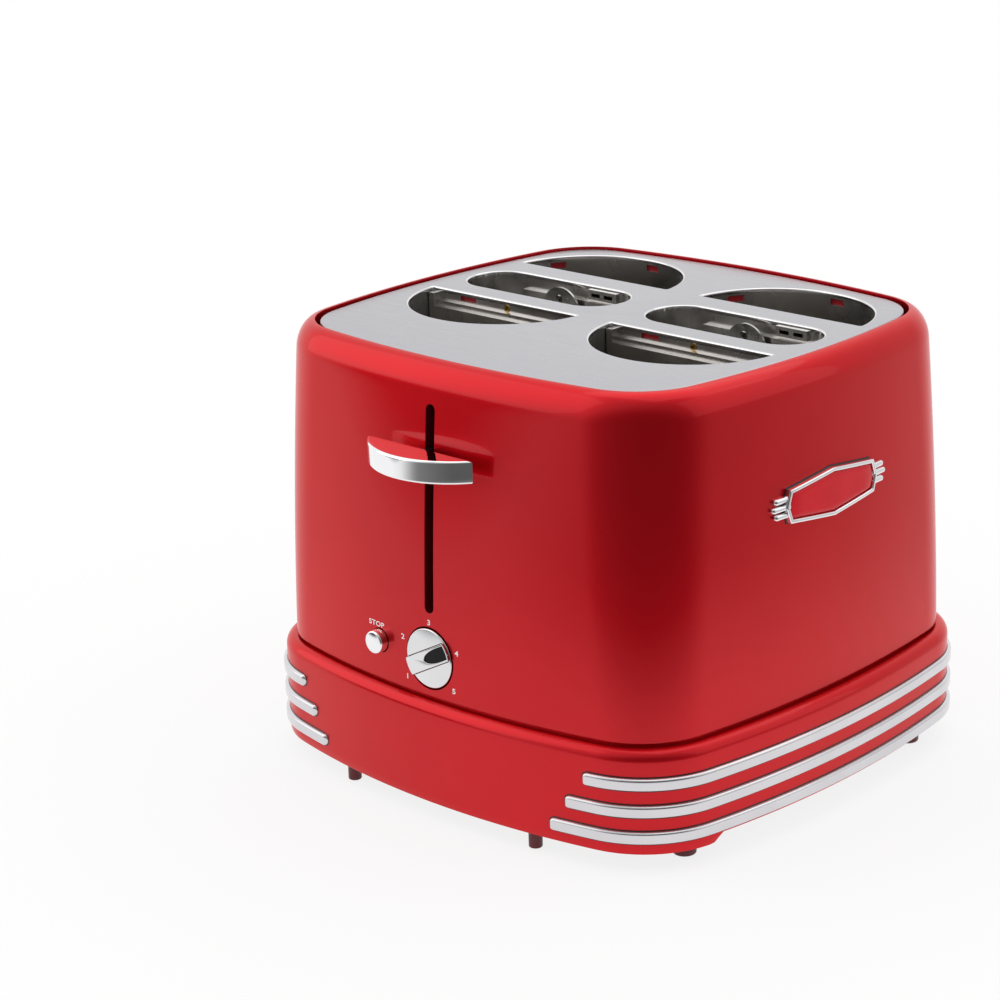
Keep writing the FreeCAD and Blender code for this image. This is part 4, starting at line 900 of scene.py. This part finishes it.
def dial_knob():
    """A chrome disc with a raised grip bar; one half of the bar is scooped out and dark. Thin lines of painted shadow
    run along the bar's edges.
    """
    face = DIAL_FACE
    centre = (0.0, DIAL_Z)
    disc = prism("dial_disc", circle_points(centre, DIAL_RADIUS, 128), face, face + 7, "y", "satin")
    bevelled(disc, 0.7, 4)
    finish_mesh(disc, "satin", 60.0)
    half, edge, tilt, steps = 4.6, DIAL_RADIUS - 0.3, 27.6, 12  # the bar's half width, its reach and its turn
    lean = math.asin(half / edge)
    points = []
    for s in (0, math.pi):
        for i in range(steps + 1):
            turn = s - lean + 2 * lean * i / steps
            points.append((edge * math.cos(turn), DIAL_Z + edge * math.sin(turn)))
    bar = prism("dial_bar", turned(points, centre, tilt), face - 1.3, face + 2, "y", "satin")
    scoop_half, scoop_rim, nose_start, nose_reach = 3.6, edge - 0.8, 9.0, 11.4
    spread = math.asin(scoop_half / scoop_rim)
    bullet = [(scoop_rim * math.cos(turn), DIAL_Z + scoop_rim * math.sin(turn))
              for turn in (spread * (i - 4) / 4 for i in range(9))]
    bullet += [(nose_start + nose_reach * math.cos(turn), DIAL_Z + scoop_half * math.sin(turn))
               for turn in (math.pi / 2 + math.pi * i / 24 for i in range(25))]
    bullet = turned(bullet, centre, tilt)
    cut_away(bar, prism("scoop_tool", bullet, face - 3, face - 0.2, "y"))
    bevelled(bar, 0.3, 3)
    finish_mesh(bar, "satin", 60.0)
    scoop = prism("dial_scoop", bullet, face - 0.6, face - 0.1, "y", "hollow")
    # two thin near-black lines along the bar's edges are painted shadow
    length, painted_shadow = edge * math.cos(lean) - 0.8, 0.5
    shadow_lines = []
    for s in (-1, 1):
        line = box_points(-length, length, DIAL_Z + s * half, DIAL_Z + s * (half + painted_shadow))
        shadow_lines.append(prism(f"dial_shadow_line_{'low' if s < 0 else 'high'}", turned(line, centre, tilt),
                             face - 0.03, face + 0.5, "y", "painted_shadow"))
    for item in (disc, bar, scoop, *shadow_lines):
        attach(item, "dial")
    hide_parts("dial_knob")


def stop_button():
    """A softly rounded chrome cap, with a flange and a stem behind the shell."""
    radius, front, neck, flange, stem = BUTTON_RADIUS, BUTTON_FRONT, -133.5, -131.5, -127.0
    profile = ((0.01, front), (radius - 0.9, front), (radius - 0.5, front + 0.12), (radius - 0.15, front + 0.4),
               (radius, front + 0.9), (radius, neck), (radius + 2, neck), (radius + 2, flange),
               (2.0, flange), (2.0, stem), (0.01, stem))
    rows = [[(x, y, z) for x, z in circle_points((BUTTON_X, BUTTON_Z), reach, 64)] for reach, y in profile]
    item = rows_object("button_cap", rows, "chrome", angle=50.0, caps=True)
    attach(item, "stop_button")
    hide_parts("stop_button")


def face_label(name, words, x, z, height):
    """Generic lettering, with capitals of that height, laid on the curved front face."""
    cap_share, widen, raised = 0.7, 1.3, 0.06
    curve = bpy.data.curves.new(name, "FONT")
    curve.body = words
    curve.size = height / cap_share * MM
    curve.align_x = "CENTER"
    curve.align_y = "CENTER"
    curve.resolution_u = 6
    curve.offset = 0.08 * MM
    curve.space_character = 1.05
    text = bpy.data.objects.new(name + "_curve", curve)
    bpy.context.scene.collection.objects.link(text)
    graph = bpy.context.evaluated_depsgraph_get()
    mesh = bpy.data.meshes.new_from_object(text.evaluated_get(graph))
    bpy.data.objects.remove(text)
    spots = [(v.co.x / MM * widen + x, v.co.y / MM + z) for v in mesh.vertices]
    for vertex, (u, w) in zip(mesh.vertices, spots):
        vertex.co = Vector((u, front_y(u, w, raised), w)) * MM
    item = bpy.data.objects.new(name, mesh)
    bpy.context.scene.collection.objects.link(item)
    mesh.materials.clear()
    mesh.materials.append(MATERIALS["print"])
    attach(item, "root")


def face_labels():
    """Plain numbers round the dial, and the word over the stop button."""
    places = {1: (-16.0, 71.4), 2: (-19.1, 91.7), 3: (-0.2, 103.4), 4: (18.7, 91.6), 5: (16.6, 71.2)}
    for number, (x, z) in places.items():
        face_label(f"dial_number_{number}", str(number), x, z, 2.7)
    face_label("button_label", "STOP", -39.4, 93.5, 2.6)


# ---------------------------------------------------------------- badge


def badge_points(border, shrink=1.0):
    """The plaque's eight corners drawn in by border, with points along its edges."""
    (tip, _), (corner, side), (_, peak) = BADGE_CORNERS
    tip -= 1.06 * border
    corner, side = corner - 0.73 * border, side - 0.92 * border
    peak -= border
    corners = [(tip, 0.0), (corner, side), (0.0, peak), (-corner, side), (-tip, 0.0), (-corner, -side),
               (0.0, -peak), (corner, -side)]
    steps = 8
    return [((a + (c - a) * i / steps) * shrink, (b + (d - b) * i / steps) * shrink)
            for (a, b), (c, d) in zip(corners, corners[1:] + corners[:1]) for i in range(steps)]


def on_side(points, off):
    """Points of the badge laid on the shell's right face, raised by off."""
    return [(side_x(BADGE_Y + y, BADGE_Z + z, off), BADGE_Y + y, BADGE_Z + z) for y, z in points]


def badge_bar(level, reach, way):
    """A round-ended, half-round bar that reaches out past one end of the plaque."""
    rows, steps, inner, root = [], 10, 32.6, 0.05
    stations = [inner + (reach - inner) * i / 6 for i in range(7)]
    stations += [reach + BADGE_BAR * math.sin(turn) for turn in quarter_turn(8)[1:]]
    for y in stations:
        past = max(y - reach, 0.0)
        tall = math.sqrt(max(BADGE_BAR ** 2 - past ** 2, 0.01))
        row = on_side([(y * way, level - tall)], root)
        for i in range(steps + 1):
            u = -1 + 2 * i / steps
            rise = 0.9 + 1.65 * math.sqrt(max(1 - abs(u) ** 2.4, 0.0)) * tall / BADGE_BAR
            row += on_side([(y * way, level + u * tall)], rise)
        row += on_side([(y * way, level + tall)], root)
        rows.append(row)
    name = f"badge_bar_{'rear' if way > 0 else 'front'}_{round(level + BADGE_PITCH)}"
    return rows_object(name, rows, "chrome", caps=True, angle=50.0)


def badge():
    """A raised chrome frame round a field of enamel, on a dark band of painted shadow, with three bars past each end.
    """
    frame_steps = ((0.0, 0.05), (0.0, 2.7), (0.15, 3.1), (0.5, 3.25), (1.5, 3.25), (1.85, 3.1), (2.0, 2.7),
                   (2.0, 1.6), (1.5, 0.05))
    shadow_band_steps = ((-0.7, 0.02), (-0.7, 0.25), (0.5, 0.25), (0.5, 0.02))
    field_steps = [(1.9, 1.0, 1.4), (2.05, 1.0, 1.7), (3.3, 1.0, 2.5), (3.6, 1.0, 2.6)]
    field_steps += [(3.6, shrink, 2.6) for shrink in (0.8, 0.5, 0.2, 0.01)]
    plaque = rows_object("badge_plaque", [on_side(badge_points(border), off) for border, off in frame_steps],
                         "chrome", round_rows=True, angle=50.0)
    bars = [badge_bar(BADGE_PITCH * i, reach, way) for i, reach in ((-1, 41.5), (0, 43.3), (1, 41.5))
            for way in (-1, 1)]
    # the dark band round the plaque's foot is painted shadow
    shadow_band = rows_object("badge_shadow_band", [on_side(badge_points(border), off) for border, off in shadow_band_steps],
                      "painted_shadow", round_rows=True)
    enamel = rows_object("badge_field", [on_side(badge_points(border, shrink), off)
                                         for border, shrink, off in field_steps],
                         "enamel", caps=True, angle=40.0)
    for item in (plaque, *bars, shadow_band, enamel):
        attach(item, "root")
    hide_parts("badge_frame")
    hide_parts("badge_inlay")


# ---------------------------------------------------------------- carried-over pieces


def paint_frame():
    """Materials for the pieces that keep their CAD shape."""
    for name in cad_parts:
        if name.startswith(("bun_chute", "guard_panel", "hot_dog_guide")):
            paint_node(name, "inner")
        elif name == "lever_arm":
            paint_node(name, "dark")
        elif name.startswith(("chassis", "guide_rods", "carriage", "armature", "magnet_core",
                              "base_screws", "bottom_plate", "crumb_tray", "dial_shaft", "return_spring",
                              "bun_rest", "cage_lift")):
            paint_node(name, "zinc")
        elif name.startswith("hot_dog_cage"):
            paint_node(name, "wire")
        elif name.startswith("heater_board"):
            paint_node(name, "mica")
        elif name.startswith("heater_wires"):
            paint_node(name, "ribbon")
        # the feet's dark red is painted shade: red plastic darkened as it looks under the base
        elif name in ("front_feet", "corner_feet"):
            paint_node(name, "shaded_red")
        elif name in ("timer_control", "stop_switch", "cord_gland", "terminal_block"):
            paint_node(name, "black")
    paint_node("magnet_coil", "copper")
    paint_node("control_board", "board")
    paint_node("panel_eyelets", "brass")


bpy.context.scene.view_settings.view_transform = "Standard"
make_camera()
make_world()
make_floor()
make_lights()
make_materials()
paint_frame()
outer_shell()
base_housing()
trim_strips()
top_plate()
slot_edges()
lever_handle()
slot_liner()
window_liners()
dial_knob()
stop_button()
face_labels()
badge()
